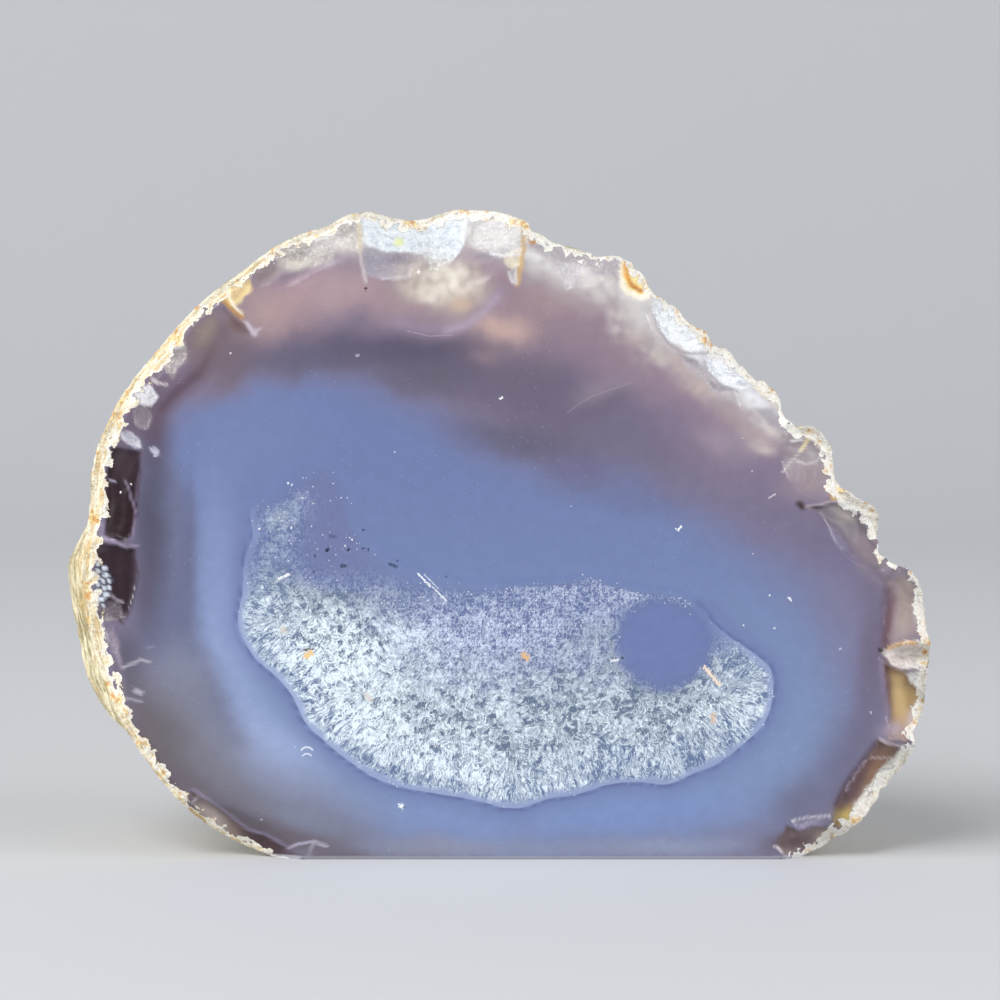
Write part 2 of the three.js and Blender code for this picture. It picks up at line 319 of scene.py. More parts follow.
# Mauve above: a dark lens under the top, and warm haze between it and the rim.
MAUVE_CLOUDS = [
    (cloud, "857484", (260, 330), (120, 40), -28, 0.7),
    (cloud, "9a838c", (520, 300), (150, 60), 8, 0.85),
    (cloud, "9c8692", (690, 390), (120, 52), 40, 0.85),
    (cloud, "5a5367", (400, 352), (112, 27), 7, 0.95),
    (cloud, "675e71", (545, 396), (78, 44), 18, 0.85),
    (cloud, "6e677e", (640, 436), (76, 44), 25, 0.75),
    (cloud, "696583", (575, 470), (36, 22), 10, 0.7),
    (cloud, "ab9094", (288, 306), (52, 27), -22, 0.95),
    (cloud, "b1989c", (345, 290), (40, 26), -5, 0.85),
    (cloud, "a58c93", (400, 300), (60, 20), 5, 0.7),
    (cloud, "7c7084", (350, 322), (60, 12), 8, 0.4),
    (cloud, "bfa39c", (500, 328), (32, 15), 12, 0.95),
    (cloud, "a79091", (560, 300), (30, 20), 0, 0.5),
    (cloud, "8b7886", (610, 350), (60, 30), 20, 0.5),
    (cloud, "a99398", (700, 372), (34, 22), 35, 0.6),
    (cloud, "7e7189", (700, 430), (60, 24), 30, 0.5),
    (cloud, "ac9896", (745, 418), (36, 15), 38, 0.55),
    (cloud, "665d6a", (242, 356), (34, 22), -30, 0.65),
    (cloud, "5f5b70", (310, 358), (62, 15), -8, 0.75),
    (cloud, "615a6b", (432, 380), (62, 15), 5, 0.6),
    (cloud, "5d5a70", (516, 440), (62, 17), 10, 0.7),
    (cloud, "8d7a82", (484, 350), (22, 12), 10, 0.7),
    (cloud, "9d909c", (724, 442), (30, 14), 30, 0.7),
    (cloud, "6a7096", (640, 500), (40, 18), 10, 0.5),
    (cloud, "766d88", (770, 500), (60, 36), 35, 0.6),
    (cloud, "6e6682", (845, 560), (46, 26), 45, 0.6),
    (cloud, "7c7894", (842, 610), (26, 60), -5, 0.5),
    (cloud, "6c6177", (872, 660), (16, 70), 4, 0.75, 5),
    (cloud, "666078", (848, 760), (26, 60), 24, 0.6, 5),
]
draw(MAUVE_CLOUDS)

# Left and below: narrow bands that follow the rim, nearly black maroon outside.
LEFT_BANDS = [
    (facet, "666985", [(126, 452), (150, 452), (176, 468), (191, 500), (195, 540), (195, 590), (200, 640),
     (222, 690), (244, 748), (214, 752), (170, 700), (132, 640), (134, 560), (136, 500)], 15, 0, 0, 0.9,
     2),
    (cloud, "4e4c60", (151, 525), (16, 84), 0, 0.85, 5),
    (cloud, "70748f", (176, 530), (5, 70), 1, 0.35, 2),
    (cloud, "60627c", (190, 545), (5, 76), 1, 0.5, 2),
    (cloud, "565466", (128, 664), (16, 34), -20, 0.85, 4),
]
draw(LEFT_BANDS)
low_bands = ease(spot[:, 1], 640, 740) * ease(-spot[:, 0], -430, -300)
for text, at, width, strength in (
    ("85899e", 72, 26, 0.7),
    ("74737f", 46, 20, 0.8),
    ("625a60", 24, 15, 0.85),
):
    paint(text, low_bands * strength * np.exp(-(((from_rim + drift[:, 0] * 5 - at) / width) ** 2)))
LOW_CLOUDS = [
    (cloud, "868a9f", (180, 676), (36, 34), 24, 0.7, 6),
    (cloud, "7c7d8c", (186, 700), (30, 26), 20, 0.6, 6),
    (cloud, "6b6469", (158, 738), (34, 52), -34, 0.8, 6),
    (cloud, "5a4c50", (152, 772), (14, 60), -38, 0.8, 4),
    (cloud, "7d7d8a", (208, 756), (30, 36), -34, 0.5, 6),
    (cloud, "7f859c", (306, 822), (40, 12), 18, 0.7, 4),
    (cloud, "6d6470", (322, 850), (56, 9), 3, 0.7, 4),
    (cloud, "82889f", (384, 848), (40, 10), 0, 0.7, 4),
    (cloud, "8e93a5", (450, 850), (60, 12), 0, 0.7, 4),
    (cloud, "868fa9", (540, 852), (60, 9), 0, 0.7, 4),
    (cloud, "8d95ae", (668, 850), (84, 10), -1, 0.85, 4),
    (cloud, "665d6c", (790, 846), (30, 12), -8, 0.8, 3),
    (cloud, "686478", (800, 806), (34, 22), -30, 0.6, 4),
]
draw(LOW_CLOUDS)

# The maroon window on the left, with the thin pale line down its inner side.
WINDOW = [
    (facet, "26111a", [(112, 446), (142, 450), (141, 478), (138, 500), (137, 512), (134, 528), (127,
     541), (104, 537), (104, 500), (106, 470)], 2, 0.25),
    (cloud, "4c3e48", (124, 462), (12, 22), 0, 0.5, 2),
    (facet, "2f1d27", [(94, 541), (118, 545), (135, 548), (138, 574), (132, 604), (122, 624), (106,
     610), (100, 580), (90, 560)], 3, 0.3),
    (cloud, "5d5163", (142, 590), (10, 40), 0, 0.5, 3),
    (cloud, "1f0d15", (118, 505), (9, 26), 0, 0.5, 2),
    (stroke, "8d7f96", [(125, 480), (131, 496), (135, 511), (135, 522), (130, 539)], 1.6, 0.75, 1.5),
    (stroke, "9b8fa6", [(101, 537), (115, 541), (127, 547), (137, 545)], 2, 0.8, 1.5),
    (stroke, "6f6277", [(143, 449), (140, 474), (136, 500)], 2.5, 0.5, 2),
    (stroke, "a9a2b6", [(108, 480), (115, 481)], 1.5, 0.7, 1),
]
draw(WINDOW)

# Under the top and the slope the chips lie close together, greyish white and cream.
speckle = np.clip(0.75 + 0.5 * drift_fine[:, 0] + 0.4 * drift_fine[:, 1], 0, 1)
at_top = ease(rim_angle, 60, 70) * (1 - ease(rim_angle, 112, 120))
on_slope = ease(rim_angle, 24, 30) * (1 - ease(rim_angle, 60, 68))
edge_zone = from_rim + drift[:, 0] * 8 + drift_fine[:, 1] * 4
paint("aba1a4", 0.9 * at_top * (1 - ease(edge_zone, 30, 62)))
paint("dedcda", 0.95 * at_top * speckle * (1 - ease(edge_zone, 16, 44)))
paint("aaa0a3", 0.95 * on_slope * (1 - ease(edge_zone, 30, 56)))
paint("e2e3e6", 0.95 * on_slope * speckle * (1 - ease(edge_zone, 18, 38)))
far_right = ease(rim_angle, -24, -16) * (1 - ease(rim_angle, 20, 28))
paint("8f8389", 0.5 * far_right * (1 - ease(edge_zone, 10, 34)))

# White flakes and shards along the upper left.
LEFT_FLAKES = [
    (cloud, "574e63", (158, 444), (16, 24), 10, 0.7, 3),
    (cloud, "5e4d58", (146, 402), (14, 44), 26, 0.7, 3),
    (facet, "938892", [(134, 408), (141, 402), (150, 407), (152, 418), (149, 427), (141, 428), (135,
     422), (133, 414)], 1.2, 0.35, 0.1),
    (facet, "cfcdd2", [(134, 388), (150, 384), (160, 396), (152, 404), (140, 404), (134, 396)], 1.2,
     0.3, 0.7),
    (facet, "c9c6d0", [(120, 431), (130, 430), (139, 438), (142, 448), (134, 446), (122, 438)], 1.2,
     0.3, 0.5),
    (facet, "b9b7c8", [(149, 446), (155, 445), (160, 451), (158, 455), (153, 453)], 1.2, 0.15, 0.3),
    (facet, "a49a9b", [(155, 361), (172, 352), (187, 345), (188, 358), (178, 368), (174, 378), (164,
     368)], 2, 0.3, 0.4),
    (facet, "b8b0b0", [(172, 345), (186, 340), (188, 348), (178, 354)], 1.5, 0.2, 0.5),
    (stroke, "cfc6c8", [(152, 378), (158, 382), (168, 383)], 2, 0.85, 1.2),
    (stroke, "5c4854", [(222, 330), (210, 352), (198, 372), (178, 390), (162, 408), (154, 432)], 12,
     0.6, 12),
    (stroke, "503c48", [(212, 350), (200, 372), (176, 391), (162, 408)], 4, 0.5, 5),
    (cloud, "7d6c6c", (203, 334), (18, 30), 32, 0.85, 4),
    (cloud, "95877c", (207, 330), (9, 15), 30, 0.6, 3),
    (cloud, "74656d", (228, 350), (20, 34), 30, 0.55, 4),
]
draw(LEFT_FLAKES)

# The ledge of the upper left, with its ochre streak and painted shadow under it, and the clouded chips of the
# top.
TOP_CHIPS = [
    (cloud, "ad9594", (262, 306), (30, 24), 40, 0.7, 4),
    (facet, "8b7d7b", [(252, 268), (270, 262), (284, 270), (274, 280), (256, 284)], 4, 0.2, 0, 0.7),
    (facet, "d9bd86", [(222, 286), (234, 280), (250, 279), (254, 288), (242, 297), (234, 304), (226,
     302)], 2.5, 0.1, 0.2, 0.9, 3),
    (stroke, "c29244", [(219, 284), (224, 297), (233, 307), (242, 315)], 5, 0.75, 3, 4),
    # painted shadow under the ochre ledge
    (cloud, "705a55", (238, 324), (11, 7), 38, 0.85, 2),
    (stroke, "efd9a0", [(226, 289), (232, 300), (238, 304), (248, 287)], 4, 0.8, 3, 4),
    (stroke, "f8f0dc", [(228, 291), (233, 301), (243, 313)], 2, 0.85, 1.5, 3),
    (facet, "c3b7c4", [(243, 318), (249, 321), (254, 328), (262, 327), (256, 335), (252, 334)], 1.5,
     0.1, 0.2, 0.9),
    # painted shadow along the underside of the ledge
    (stroke, "5a4854", [(224, 308), (236, 320), (248, 331)], 2.5, 0.45, 3),
    (facet, "b2aaa7", [(272, 254), (300, 236), (335, 222), (358, 214), (360, 250), (340, 246), (330,
     262), (304, 268), (285, 264)], 4, 0.2, 0.55),
    (cloud, "e4e0dc", (322, 242), (18, 10), -20, 0.9, 4, 0.5),
    (cloud, "8e8583", (300, 250), (16, 7), -25, 0.6, 3),
    (cloud, "d8d2cb", (348, 243), (12, 11), 0, 0.8, 3, 0.5),
    (cloud, "d5cdc0", (298, 262), (24, 7), -12, 0.8, 3, 0.6),
    (facet, "dde3e8", [(359, 214), (386, 216), (411, 219), (440, 214), (468, 212), (464, 242), (460,
     252), (447, 265), (432, 273), (428, 262), (424, 254), (407, 252), (388, 252), (371, 246), (362,
     240)], 1.3, 0.35, 0.85),
    (facet, "a29ba6", [(362, 248), (371, 247), (388, 253), (407, 253), (423, 255), (428, 264), (414,
     267), (409, 277), (384, 278), (364, 274)], 1.5, 0.2, 0.15),
    (cloud, "7b7585", (402, 260), (22, 6), 4, 0.8, 2),
    (stroke, "d6cbb0", [(358, 219), (361, 236), (360, 250)], 4, 0.85, 2),
    (stroke, "c9bfbf", [(360, 248), (362, 262), (366, 280)], 2.5, 0.8, 1.5),
    (stroke, "cbc4d2", [(382, 278), (396, 278), (407, 277), (412, 268)], 1.8, 0.75, 1.3),
    (cloud, "b3a79c", (442, 284), (42, 24), 10, 0.9, 8),
    (cloud, "d2c8bc", (444, 284), (36, 20), 10, 1.0, 8, 0.8),
    (cloud, "e0d8cc", (450, 276), (14, 9), 0, 0.9, 5, 0.5),
    (cloud, "dbd2c6", (432, 295), (14, 8), 0, 0.9, 5, 0.5),
    (cloud, "c8b09c", (462, 302), (12, 7), 0, 0.85, 3),
    (facet, "d3cfcd", [(472, 222), (494, 216), (520, 220), (524, 240), (523, 251), (512, 255), (493,
     255), (480, 250), (468, 244)], 1.5, 0.3, 0.5),
    (cloud, "9d97a0", (492, 254), (16, 5), 4, 0.8, 2),
    (facet, "d9cfbb", [(503, 254), (522, 250), (521, 266), (512, 268), (505, 262)], 1.5, 0.2, 0.3),
    (stroke, "c8a877", [(524, 228), (523, 248), (520, 268), (517, 283)], 4, 0.85, 2.5),
    (facet, "cfc8ca", [(507, 270), (517, 268), (517, 284), (511, 282)], 1.2, 0.2, 0.3),
    (facet, "c08a4a", [(527, 239), (540, 242), (531, 246)], 1.0, 0.1),
    (stroke, "e8e4e4", [(490, 252), (500, 255), (520, 254)], 2, 0.8, 1.2),
    (facet, "aaa1a8", [(526, 244), (545, 244), (580, 252), (618, 258), (622, 272), (600, 285), (588,
     266), (560, 262), (540, 254)], 3, 0.2, 0.3, 0.9),
    (facet, "c9c3c7", [(550, 262), (570, 262), (587, 262), (578, 276), (567, 290), (560, 276)], 1.3,
     0.3, 0.4),
    (facet, "bfb9bd", [(573, 278), (582, 276), (583, 284), (577, 286)], 1.2, 0.15, 0.2),
    (cloud, "cfc9c6", (600, 286), (24, 16), 25, 0.95, 6, 0.7),
    (cloud, "c6bebb", (622, 316), (15, 20), 10, 0.9, 6, 0.7),
    (cloud, "d0cac4", (640, 304), (18, 13), 40, 0.9, 6, 0.6),
    (cloud, "c0b8b7", (648, 332), (34, 17), 45, 0.95, 7, 0.7),
    (cloud, "d0cac8", (636, 322), (9, 16), 10, 0.8, 5, 0.6),
    (cloud, "bbb2ae", (660, 356), (22, 11), 10, 0.9, 6, 0.6),
    (cloud, "b9abab", (690, 374), (20, 10), 35, 0.8, 5, 0.5),
    (cloud, "b3a39f", (632, 338), (12, 9), 0, 0.6, 5),
    (cloud, "c1afa7", (702, 388), (15, 9), 15, 0.85, 5, 0.5),
    (cloud, "b9a9a5", (680, 362), (14, 8), 40, 0.6, 4),
    (cloud, "a9989c", (760, 436), (26, 12), 25, 0.7, 5),
    (cloud, "d0c6c2", (776, 428), (16, 9), 30, 0.8, 4, 0.5),
    (cloud, "c9bdb9", (762, 446), (14, 7), 20, 0.7, 4, 0.5),
]
draw(TOP_CHIPS)
# The light curved crack under the top, and the dark field that it bounds.
CURVED_CRACK = [
    (stroke, "9c8ca0", [(396, 321), (426, 328), (447, 329), (470, 321), (488, 306), (500, 292)], 7,
     0.55, 9, 0.3),
    (stroke, "b5a7ba", [(446, 330), (466, 324), (484, 311), (496, 296)], 3, 0.5, 6, 0.3),
    (cloud, "5a5366", (448, 346), (44, 8), 0, 0.5, 3),
    (cloud, "8f8290", (606, 386), (34, 11), -24, 0.6, 4),
    (cloud, "6a6074", (604, 404), (34, 9), -24, 0.5, 4),
]
draw(CURVED_CRACK)

# The ochre pocket at the top right, and the slope of scale-like chips beneath it.
SLOPE = [
    (facet, "f3ead6", [(620, 256), (627, 258), (640, 266), (656, 285), (652, 297), (640, 300), (626,
     294), (619, 285)], 1.2, 0.3, 0.4),
    (facet, "f9e9a6", [(623, 261), (630, 264), (642, 274), (650, 288), (640, 294), (628, 288), (623,
     279)], 1.2, 0.5, 0.2),
    (stroke, "d9933a", [(626, 264), (627, 276), (631, 284), (640, 290)], 4, 0.9, 2.5),
    (stroke, "b86f22", [(629, 280), (634, 287), (640, 290)], 2, 0.8, 1.5),
    (facet, "e9ecef", [(652, 309), (657, 296), (672, 300), (690, 308), (704, 326), (708, 350), (688,
     350), (672, 342), (660, 330)], 1.3, 0.25, 1.0),
    (stroke, "8d8893", [(653, 314), (658, 328), (667, 341), (680, 351), (702, 353)], 1.4, 0.7, 1.6),
    (facet, "e4dfdb", [(702, 346), (712, 338), (730, 340), (744, 352), (744, 362), (726, 361), (710,
     358)], 1.3, 0.2, 0.8),
    (stroke, "9b949c", [(704, 354), (714, 351), (728, 357), (742, 360)], 1.3, 0.7, 1.5),
    (facet, "e8eaee", [(704, 358), (722, 361), (744, 361), (756, 376), (748, 390), (730, 388), (716,
     378), (707, 369)], 1.3, 0.25, 1.0),
    (stroke, "8f8995", [(704, 361), (709, 372), (721, 384), (738, 391)], 1.4, 0.7, 1.6),
    (facet, "b0a8ae", [(676, 352), (694, 358), (706, 366), (714, 380), (732, 390), (722, 394), (710,
     390), (702, 376), (688, 366)], 2, 0.2, 0.2),
    (facet, "efe7cf", [(748, 378), (758, 370), (768, 374), (786, 392), (786, 402), (768, 399), (756,
     390)], 1.5, 0.1, 0.6, 1.0, 3),
    (cloud, "e9c46a", (764, 386), (7, 4), 40, 0.9, 2),
    (cloud, "e2b25a", (777, 396), (5, 3), 40, 0.9, 2),
    (facet, "d3cac3", [(766, 401), (783, 400), (789, 416), (778, 410)], 1.3, 0.15, 0.4),
    (facet, "97909a", [(756, 408), (772, 409), (790, 424), (800, 430), (786, 434), (768, 424)], 3, 0.2,
     0, 0.7),
]
draw(SLOPE)

# The lobe on the right: white crust, a straight yellowish edge and a small arc.
LOBE = [
    (facet, "a0949a", [(792, 432), (806, 428), (820, 440), (832, 462), (836, 484), (812, 490), (790,
     478), (782, 460)], 4, 0.2, 0.1, 0.85),
    (facet, "efeadd", [(802, 430), (812, 425), (826, 431), (836, 446), (834, 460), (824, 452), (817,
     442), (808, 438)], 1.3, 0.15, 0.8),
    (cloud, "b1abae", (818, 456), (13, 12), 20, 0.6, 3),
    (stroke, "f0e2a8", [(812, 434), (806, 444), (801, 451)], 2.4, 0.9, 1.3),
    (stroke, "d6cdc9", [(802, 450), (792, 461), (782, 471)], 1.2, 0.8, 1.2),
    (stroke, "dcd6d4", [(798, 461), (809, 465), (817, 463), (824, 455)], 1.2, 0.75, 1.2),
    (stroke, "e1dcdc", [(791, 440), (803, 440)], 2, 0.9, 1.2),
    (cloud, "95868e", (808, 482), (28, 15), -10, 0.9, 4),
    (facet, "dca955", [(830, 486), (843, 482), (848, 498), (832, 500)], 2, 0.2, 0.1),
    (facet, "f6efde", [(838, 482), (856, 492), (873, 500), (884, 514), (883, 534), (874, 532), (866,
     520), (856, 508), (846, 498)], 1.3, 0.0, 0.8),
    (cloud, "e0b75c", (858, 500), (9, 5), 35, 0.7, 2),
    (facet, "80787f", [(806, 507), (830, 502), (846, 502), (858, 514), (874, 540), (888, 562), (880,
     572), (862, 556), (840, 532), (818, 512)], 3, 0.35, 0, 0.9),
    (cloud, "a29994", (846, 514), (14, 10), 40, 0.85, 3),
    (cloud, "8b7b84", (868, 548), (12, 14), -40, 0.7, 3),
    (stroke, "b7aab4", [(806, 506), (818, 504), (830, 501), (846, 500)], 2, 0.85, 1.5),
    (stroke, "6a5d6d", [(816, 508), (838, 530), (858, 556), (876, 570), (888, 582)], 2, 0.6, 5),
    (stroke, "3c2a28", [(799, 503), (802, 506)], 5, 0.9, 2.5),
]
draw(LOBE)

# The broken right-hand edge: brown, clear-looking chips with pale outer bands.
RIGHT_EDGE = [
    (facet, "98888e", [(888, 580), (904, 574), (918, 582), (926, 606), (920, 636), (900, 643), (884,
     650), (887, 620), (890, 600)], 3, 0.3),
    (cloud, "a69a92", (908, 586), (9, 6), 20, 0.85, 2),
    (cloud, "a8978d", (908, 612), (10, 22), 0, 0.8, 3),
    (cloud, "78565e", (891, 622), (6, 26), 4, 0.75, 3),
    (cloud, "c4bcb4", (920, 615), (4, 10), -10, 0.8, 2),
    (stroke, "5b3f4d", [(890, 590), (889, 620), (886, 645)], 4, 0.7, 8),
    (facet, "aa8c64", [(884, 664), (894, 668), (908, 674), (914, 686), (928, 698), (930, 708), (920,
     728), (908, 742), (890, 739), (893, 716), (888, 690)], 4.5, 0.6),
    (cloud, "cbb07c", (903, 700), (10, 24), -12, 0.9, 3),
    (cloud, "a48a5c", (916, 706), (7, 14), 10, 0.6, 2),
    (cloud, "63464b", (889, 688), (6, 30), -4, 0.9, 2),
    (cloud, "bfb0b2", (918, 722), (7, 14), 22, 0.85, 2),
    (cloud, "ab9aa6", (896, 732), (14, 8), 0, 0.9, 3),
    (stroke, "857b94", [(882, 662), (885, 690), (889, 712), (880, 738)], 4, 0.7, 3),
    (facet, "e3dbd6", [(881, 652), (893, 646), (908, 642), (922, 642), (932, 664), (922, 670), (906,
     670), (892, 664), (885, 657)], 1.3, 0.2, 0.9),
    (stroke, "e7b26b", [(890, 649), (904, 645), (918, 645)], 3.5, 0.9, 2),
    (stroke, "3a2a2e", [(880, 650), (884, 653)], 3, 0.9, 1.5),
    (facet, "ece8e2", [(908, 676), (920, 672), (932, 671), (930, 690), (926, 696), (914, 686)], 1.5,
     0.0, 0.9),
    (facet, "7f675e", [(880, 741), (892, 747), (906, 752), (897, 766), (880, 787), (866, 804), (856,
     826), (836, 832), (836, 812), (848, 786), (866, 764)], 2.5, 0.6),
    (cloud, "93705a", (878, 772), (11, 24), 38, 0.85, 3),
    (cloud, "5d444a", (862, 782), (6, 34), 32, 0.8, 3),
    (cloud, "c3ad66", (848, 820), (13, 12), 20, 0.95, 2),
    (cloud, "5f4b54", (846, 798), (8, 26), 30, 0.7, 2),
    (stroke, "a898ab", [(868, 762), (856, 777), (848, 792)], 2, 0.8, 1.6),
    (stroke, "54444f", [(876, 744), (862, 764), (848, 784), (838, 806)], 3, 0.7, 3),
    (stroke, "cdbfc4", [(882, 741), (894, 746), (907, 749), (915, 749)], 2, 0.85, 1.4),
    (stroke, "c3b2b2", [(874, 760), (884, 762), (896, 762)], 1.5, 0.7, 1.3),
    (facet, "e6e0d6", [(904, 752), (914, 754), (904, 768), (888, 782), (876, 796), (864, 812), (856,
     830), (850, 828), (858, 808), (872, 790), (888, 770)], 2, 0.1, 0.8),
    (facet, "8b849c", [(791, 822), (818, 816), (832, 816), (834, 828), (816, 829), (800, 832)], 1.3,
     0.25, 0.2),
    (stroke, "e6e3ee", [(794, 823), (812, 819), (830, 818)], 1.8, 0.8, 1.4),
    (facet, "7f6f70", [(789, 828), (801, 833), (818, 830), (832, 831), (842, 839), (826, 850), (808,
     858), (784, 858), (777, 848)], 2, 0.5),
    (cloud, "b6aaa0", (826, 843), (12, 7), -25, 0.85, 2),
    (cloud, "5a474f", (796, 846), (18, 9), 0, 0.75, 2),
    (stroke, "c8c0c4", [(776, 848), (784, 856)], 1.6, 0.9, 1.2),
]
draw(RIGHT_EDGE)

# The left foot: a brown chip with a painted cream glow, under a thin lavender line.
LEFT_FOOT = [
    (facet, "4a383e", [(190, 792), (206, 803), (221, 812), (231, 822), (247, 835), (265, 839), (287,
     851), (300, 862), (270, 866), (236, 858), (206, 838), (186, 812)], 2.5, 0.2),
    # painted cream glow inside the chip
    (cloud, "b7aaa4", (212, 824), (27, 11), 45, 0.95, 3),
    (cloud, "8d7c74", (232, 842), (12, 14), -52, 0.8, 3),
    (cloud, "4d3c40", (244, 838), (12, 5), 32, 0.6, 2),
    (stroke, "8b839b", [(192, 791), (206, 801), (221, 811), (231, 821), (247, 834), (265, 838), (286,
     850)], 2.2, 0.8, 1.8),
    (stroke, "b8b2c4", [(287, 851), (297, 846), (313, 844), (326, 849)], 2, 0.8, 1.4),
    (stroke, "a9a2b2", [(312, 846), (308, 858)], 2.5, 0.7, 1.5),
    (cloud, "7b7483", (300, 856), (18, 5), 0, 0.7, 2),
    (stroke, "c9c3d2", [(190, 806), (194, 800)], 2, 0.8, 1.2),
]
draw(LEFT_FOOT)

# Shards and fine bruises down the left edge.
LEFT_SHARDS = [
    (facet, "72676f", [(96, 604), (118, 600), (122, 618), (104, 622), (96, 616)], 2, 0.25, 0.2),
    (stroke, "a39aa6", [(108, 594), (115, 599), (122, 602)], 2, 0.8, 1.4),
    (facet, "b9b3bb", [(92, 626), (98, 624), (101, 634), (96, 638)], 1.5, 0.2, 0.5),
    (stroke, "bdb6c0", [(98, 622), (103, 632), (108, 642)], 2, 0.85, 1.3),
    (stroke, "8f8494", [(110, 640), (116, 652), (119, 668)], 3, 0.7, 2),
    (facet, "8c8090", [(104, 628), (112, 626), (118, 642), (118, 664), (110, 650)], 2.5, 0.2, 0.2),
    (stroke, "b6b0bd", [(121, 668), (130, 664), (140, 660), (148, 662)], 2, 0.8, 1.4),
    (stroke, "a7a1ae", [(120, 700), (130, 699), (140, 702)], 2, 0.8, 1.3),
    (stroke, "b9b4c4", [(134, 691), (139, 693)], 4, 0.8, 1.5),
    (stroke, "8f8c9e", [(146, 648), (152, 646)], 2, 0.6, 1.2),
]
draw(LEFT_SHARDS)
# Pebbly growth on the left where the rind has come away.
PEBBLES = [(98, 571), (103, 568), (99, 578), (105, 575), (97, 585), (102, 582), (108, 581),
           (107, 588), (98, 592), (103, 589), (105, 595), (100, 599), (97, 564), (102, 605)]
for x, y in PEBBLES:
    d = np.linalg.norm(spot + drift_fine * 1.5 - np.array([x, y]), axis=1)
    bead = ease(-d, -3.2, -1.6)
    paint("4a4a5c", 0.7 * ease(-d, -5.0, -3.2))
    paint("e3ebf6", bead)
    relief[:] += 0.16 * ease(-d, -5.0, -3.2) - 0.14 * bead
    chalk[:] = np.maximum(chalk, 0.4 * bead)

# The crust in section round the edge of the cut: its width, by the turn about CENTRE.
CRUST_TURNS = [-180, -165, -150, -140, -128, -112, -90, -60, -50, -46, -39, -32, -24, -17, -8, -3, 3,
               6, 11, 14, 18, 23, 27, 33, 40, 52, 63, 75, 90, 100, 115, 130, 150, 165, 180]
CRUST_WIDTHS = [16, 14, 10, 8, 5, 3, 0, 0, 3, 8, 12, 13, 8, 10, 11, 4, 4,
                15, 15, 7, 10, 12, 4, 10, 7, 7, 4, 7, 10, 10, 9, 11, 13, 15, 16]
crust = np.interp(rim_angle, CRUST_TURNS, CRUST_WIDTHS) * (1 + 0.3 * drift_fine[:, 0]) - from_rim
crust *= PIXEL
# Where it shows, the crust crumbles away from the polish.
relief += 0.35 * ease(crust, -0.1, 0.8) + 0.22 * ease(crust, -0.3, 0.5) * np.clip(
    grain(spot_3d, 6, 2.2), 0, 1
)
# Shell-like ripples in the scoops, and a fine tooth on all that is chipped.
chipped = ease(relief, 0.04, 0.35)
relief += chipped * 0.07 * (1 + np.sin(from_rim / 2.4 + 3 * drift[:, 1]))
relief += chipped * 0.12 * (1 + grain(spot_3d, 11, 6.6)) + chipped * 0.05 * (
    1 + grain(spot_3d, 4, 9.1)
)

# The quartz in the middle. Its lower side is sharp, and its upper side fades.
QUARTZ_LOW = [
    (250, 509), (252, 535), (244, 557), (242, 592), (237, 624), (252, 655), (276, 678),
    (292, 698), (305, 724), (322, 741), (353, 766), (373, 779), (401, 789), (439, 796),
    (475, 802), (504, 810), (521, 810), (551, 800), (578, 796), (610, 786), (643, 784),
    (669, 786), (692, 776), (718, 765), (744, 746), (764, 726), (772, 707), (772, 670),
    (760, 657), (738, 642), (716, 625),
]
QUARTZ_HIGH = [
    (706, 612), (690, 598), (666, 591), (645, 589), (621, 584), (601, 578), (592, 572),
    (571, 579), (545, 581), (519, 582), (480, 584), (448, 577), (419, 572), (396, 562),
    (376, 548), (359, 527), (350, 494), (333, 466), (313, 468), (289, 481), (268, 494),
]
CURVE_STEPS = 12  # from one point of the line to the next
LOW_STEPS = 1600  # along the whole of the lower side
quartz_line = closed_spline(QUARTZ_LOW + QUARTZ_HIGH, CURVE_STEPS)
quartz = np.full(len(face), -60.0)
near = np.all((spot > (200, 420)) & (spot < (820, 860)), axis=1)
quartz[near] = inside(quartz_line, spot[near] + drift_fine[near] * 0.8)
low_line = evenly(quartz_line[: CURVE_STEPS * (len(QUARTZ_LOW) - 1)], LOW_STEPS, closed=False)
low_tree = KDTree(len(low_line))
for i, (x, y) in enumerate(low_line):
    low_tree.insert((x, y, 0), i)
low_tree.balance()
low_length = np.sum(np.linalg.norm(np.diff(low_line, axis=0), axis=1))
fibre = np.zeros((len(face), 3))
for i in np.nonzero(near)[0]:
    _, nearest, far = low_tree.find((spot[i, 0], spot[i, 1], 0))
    fibre[i] = (nearest / LOW_STEPS * low_length * PIXEL, far * PIXEL, 0)

# Above the middle, left of the disc, the crystals point no particular way.
far_up = ease(-spot[:, 1], -650, -610) * ease(spot[:, 0], 420, 470) * (1 - ease(spot[:, 0], 640, 720))

# How white the crystals are: brightest along the bottom, only a breath of frost in the
# upper left lobe, none in the smooth disc on the right.
frost = np.zeros(len(face))


def whiten(at, reach, amount, turn=0):
    turn = math.radians(turn)
    d = spot + drift * 6 - np.array(at, float)
    u = (d[:, 0] * math.cos(turn) + d[:, 1] * math.sin(turn)) / reach[0]
    v = (d[:, 1] * math.cos(turn) - d[:, 0] * math.sin(turn)) / reach[1]
    frost[:] += amount * np.exp(-((u * u + v * v) ** 1.2))


frost += 0.52 * ease(spot[:, 1], 530, 645)
WHITEST = [
    ((322, 664), (66, 58), 0.36, 30), ((400, 648), (62, 40), 0.20), ((390, 742), (100, 34), 0.30, 18),
    ((470, 700), (70, 40), 0.14), ((500, 776), (80, 24), 0.16), ((274, 550), (38, 66), 0.20, 6),
    ((276, 512), (30, 40), 0.20, 30), ((322, 500), (30, 36), 0.09), ((600, 590), (90, 14), 0.20, 5),
    ((690, 608), (24, 10), 0.2, 20), ((520, 620), (50, 30), 0.08), ((752, 704), (22, 36), 0.10),
    ((700, 742), (50, 16), -0.03), ((660, 700), (30, 16), -0.06), ((724, 708), (36, 24), 0.14),
    ((722, 640), (18, 22), -0.24), ((250, 610), (14, 40), 0.20), ((640, 735), (80, 34), 0.12),
]
for patch in WHITEST:
    whiten(*patch)
DISC = (664, 643)
